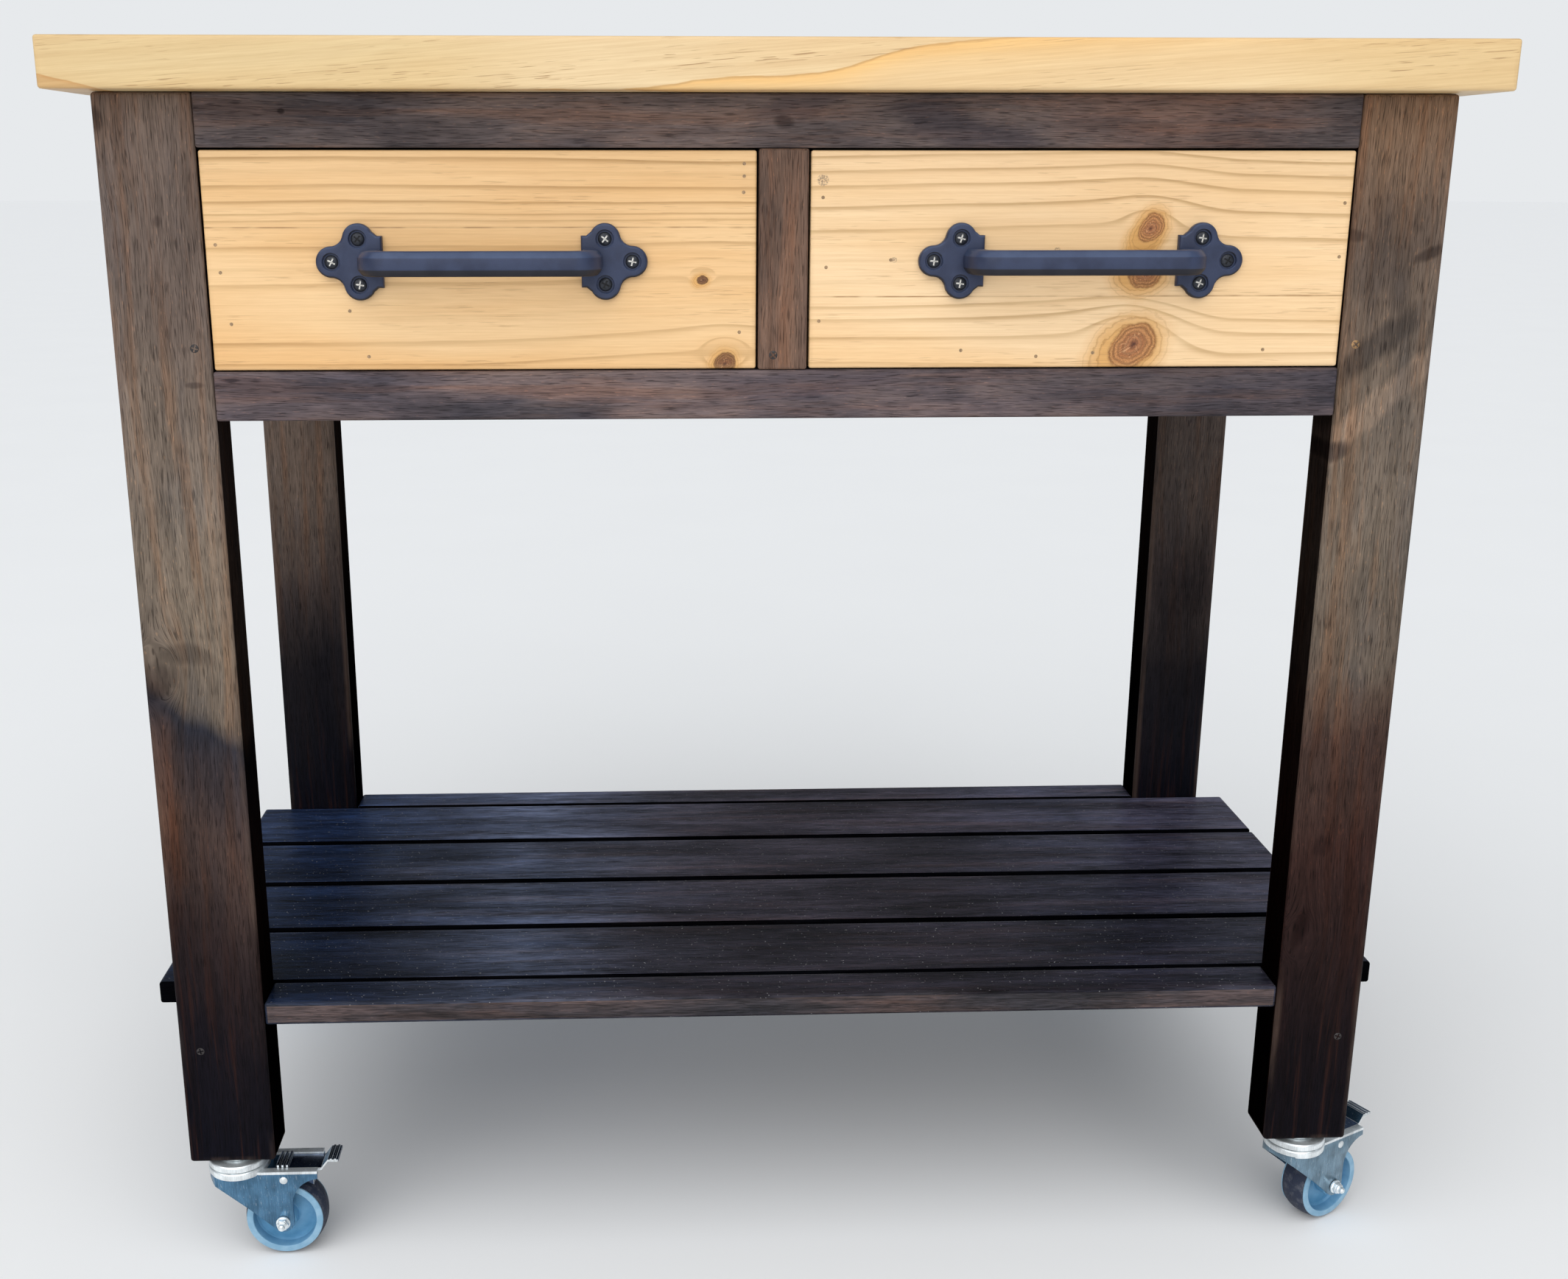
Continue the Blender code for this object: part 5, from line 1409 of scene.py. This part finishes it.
def pedal_mesh(looks):
    """Brake pedal about its pin: ribbed plate and tread, shoe and two ears; painted highlights on its narrow
    strips, plain zinc on its slopes, painted shade on the rest.
    """
    top = CHEEK_TOP_Z - PEDAL_DROP - PIN_Z
    low = top - PEDAL_SHEET
    middle = (top + low) / 2
    half = FORK_INSIDE / 2 - FORK_FLANGE - RUN_GAP
    outer = half - SEAT_GAP
    hole = PIN_RADIUS + SEAT_GAP
    around = hole + PIN_WALL
    ear = arc((0, 0), around, 180, 360) + [(around, middle), (-around, middle)]
    parts = [prism("shoe", shoe_outline(middle), -SHOE_WIDTH / 2, SHOE_WIDTH / 2, "Y")]
    for side in (-1, 1):
        parts.append(prism("ear", ear, side * (outer - PEDAL_EAR), side * outer, "Y"))
    whole = combined("pedal", prism("plate", pedal_profile(low, top), -half, half, "Y"), parts, "UNION")
    mesh = softened("pedal", combined("pedal", whole, [drill(hole)], "DIFFERENCE"), PEDAL_EDGE)

    def rubbed_and_highlit(face):
        """The bright look, a painted highlight, for narrow strips; the third look for slopes."""
        corners = [mesh.vertices[k].co for k in face.vertices]
        round_it = sum((a - b).length for a, b in zip(corners, corners[1:] + corners[:1]))
        slope = min(abs(face.normal.x), abs(face.normal.z)) > SLOPE_LEAN
        return 1 if face.area < STRIP_SHARE * round_it ** 2 else 2 if slope else 0
    return smooth(dressed(mesh, looks, rubbed_and_highlit), 30.0)


def joint_place(name):
    """A joint's place in the record."""
    return Vector(next(j["pos_m"] for j in frame["record"]["behaviour"]["joints"] if j["name"] == name))


def dress_castors():
    """Four castors in zinc, plastic and rubber; the front two have brakes."""
    # The zinc's blue is partly painted sky reflection
    zinc = zinc_plate("zinc_plate", (0.110, 0.236, 0.375), 0.32)
    pale = zinc_plate("zinc_pale", (0.205, 0.315, 0.405), 0.30)
    # Bright zinc for the stem and bolt, and as painted highlight on the forks' top edges and the pedals'
    # narrow strips
    bright = zinc_plate("zinc_bright", (0.90, 0.95, 0.97), 0.34, 0.10, 0.72)
    # Painted shade for the pedal plates, which sit inside the forks
    navy = zinc_plate("zinc_shaded", (0.085, 0.125, 0.215), 0.28)
    plastic = rim_plastic()
    rubber = tyre_rubber()
    stem = stem_mesh()
    axle = axle_mesh()
    rim = rim_mesh()
    tyre = tyre_mesh()
    pedal = pedal_mesh([navy, bright, zinc])
    plain = fork_mesh(PLAIN_TAIL, False, [zinc, bright])
    forks = {"front_left": fork_mesh(BRAKED_TAIL, True, [zinc, bright]),
             "front_right": fork_mesh(BRAKED_TAIL, True, [pale, bright]),
             "rear_left": plain, "rear_right": plain}
    for corner in CORNERS:
        node = f"castor_{corner}"
        foot = joint_place(f"{node}_swivel")
        hub = joint_place(f"wheel_{corner}_spin")
        turn = atan2(hub.y - foot.y, hub.x - foot.x)
        at = Matrix.Translation((foot.x, foot.y, 0)) @ Matrix.Rotation(turn, 4, "Z")
        wheel = at @ Matrix.Translation((TRAIL, 0, WHEEL_RADIUS))
        hinge = at @ Matrix.Translation((PIN_X, 0, PIN_Z))
        fittings = [("stem", "turned", stem, bright, "frame", "zinc", at),
                    ("fork", "pressed", forks[corner], zinc, f"swivel_{corner}", "zinc", at),
                    ("axle", "bolt", axle, bright, f"swivel_{corner}", "zinc", wheel),
                    ("rim", "moulded", rim, plastic, f"wheel_{corner}", "rim_plastic", wheel),
                    ("tyre", "tread", tyre, rubber, f"wheel_{corner}", "tyre_rubber", wheel)]
        if corner.startswith("front"):
            fittings.append(("pedal", "plate", pedal, zinc, f"brake_{corner}", "zinc", hinge))
        for part, kind, mesh, look, body, slot, place in fittings:
            piece(f"{node}_{part}_{kind}", mesh, [look], body, place, [f"{node}_{part}"])


def make_floor():
    """A plain pale floor."""
    bm = bmesh.new()
    bmesh.ops.create_circle(bm, cap_ends=True, radius=FLOOR_RADIUS, segments=FLOOR_TURN)
    floor = shown("floor", mesh_of("floor", bm))
    graph = Graph("floor_pale")
    cloud = graph.noise(graph.solid_place(), 3.0)
    graph.set(Base_Color=graph.mix(cloud, (0.88, 0.88, 0.88), (0.90, 0.90, 0.90)), Roughness=0.85)
    floor.data.materials.append(graph.material)


def add_light(name, kind, **settings):
    """A light in the scene, with its settings."""
    data = bpy.data.lights.new(name, kind)
    for key, value in settings.items():
        setattr(data, key, value)
    return shown(name, data)


def make_light():
    """Soft studio light: a broad low light in front, a soft light from above, and a pale surround."""
    lamp = add_light("front_light", "AREA", shape="RECTANGLE", size=LAMP_WIDTH, size_y=LAMP_HEIGHT,
                     energy=LAMP_POWER)
    lamp.location = LAMP_PLACE
    lamp.visible_camera = False
    lamp.rotation_euler = (LAMP_AIM - LAMP_PLACE).to_track_quat("-Z", "Y").to_euler()
    sun = add_light("top_light", "SUN", energy=SUN_STRENGTH, angle=radians(SUN_SPREAD))
    sun.rotation_euler = (radians(SUN_TILT), 0, radians(SUN_TURN))
    world = bpy.data.worlds.new("surround")
    world.use_nodes = True
    bpy.context.scene.world = world
    nodes = world.node_tree.nodes
    links = world.node_tree.links
    shade = nodes["Background"]
    shade.inputs["Color"].default_value = (0.84, 0.92, 1.0, 1.0)
    shade.inputs["Strength"].default_value = SURROUND_STRENGTH
    seen = nodes.new("ShaderNodeBackground")
    seen.inputs["Color"].default_value = (0.80, 0.82, 0.84, 1.0)
    path = nodes.new("ShaderNodeLightPath")
    choice = nodes.new("ShaderNodeMixShader")
    links.new(path.outputs["Is Camera Ray"], choice.inputs[0])
    links.new(shade.outputs[0], choice.inputs[1])
    links.new(seen.outputs[0], choice.inputs[2])
    links.new(choice.outputs[0], nodes["World Output"].inputs["Surface"])
    bpy.context.scene.view_settings.view_transform = "Standard"


def make_camera():
    """The photograph's camera."""
    data = bpy.data.cameras.new("photo_camera")
    data.sensor_width = SENSOR_WIDTH
    data.lens = SENSOR_WIDTH * FOCAL_PIXELS / PHOTO_WIDTH
    data.shift_x = (PHOTO_WIDTH / 2 - CENTRE_PIXEL[0]) / PHOTO_WIDTH
    data.shift_y = (CENTRE_PIXEL[1] - PHOTO_HEIGHT / 2) / PHOTO_WIDTH
    camera = shown("photo_camera", data)
    camera.location = CAMERA_PLACE
    camera.rotation_euler = (radians(90 + CAMERA_PITCH), 0, radians(-CAMERA_YAW))
    bpy.context.scene.camera = camera


dress_top()
dress_legs()
dress_frame()
dress_shelf()
dress_drawers()
dress_pulls()
dress_frame_screws()
dress_brads()
dress_castors()
make_floor()
make_light()
make_camera()
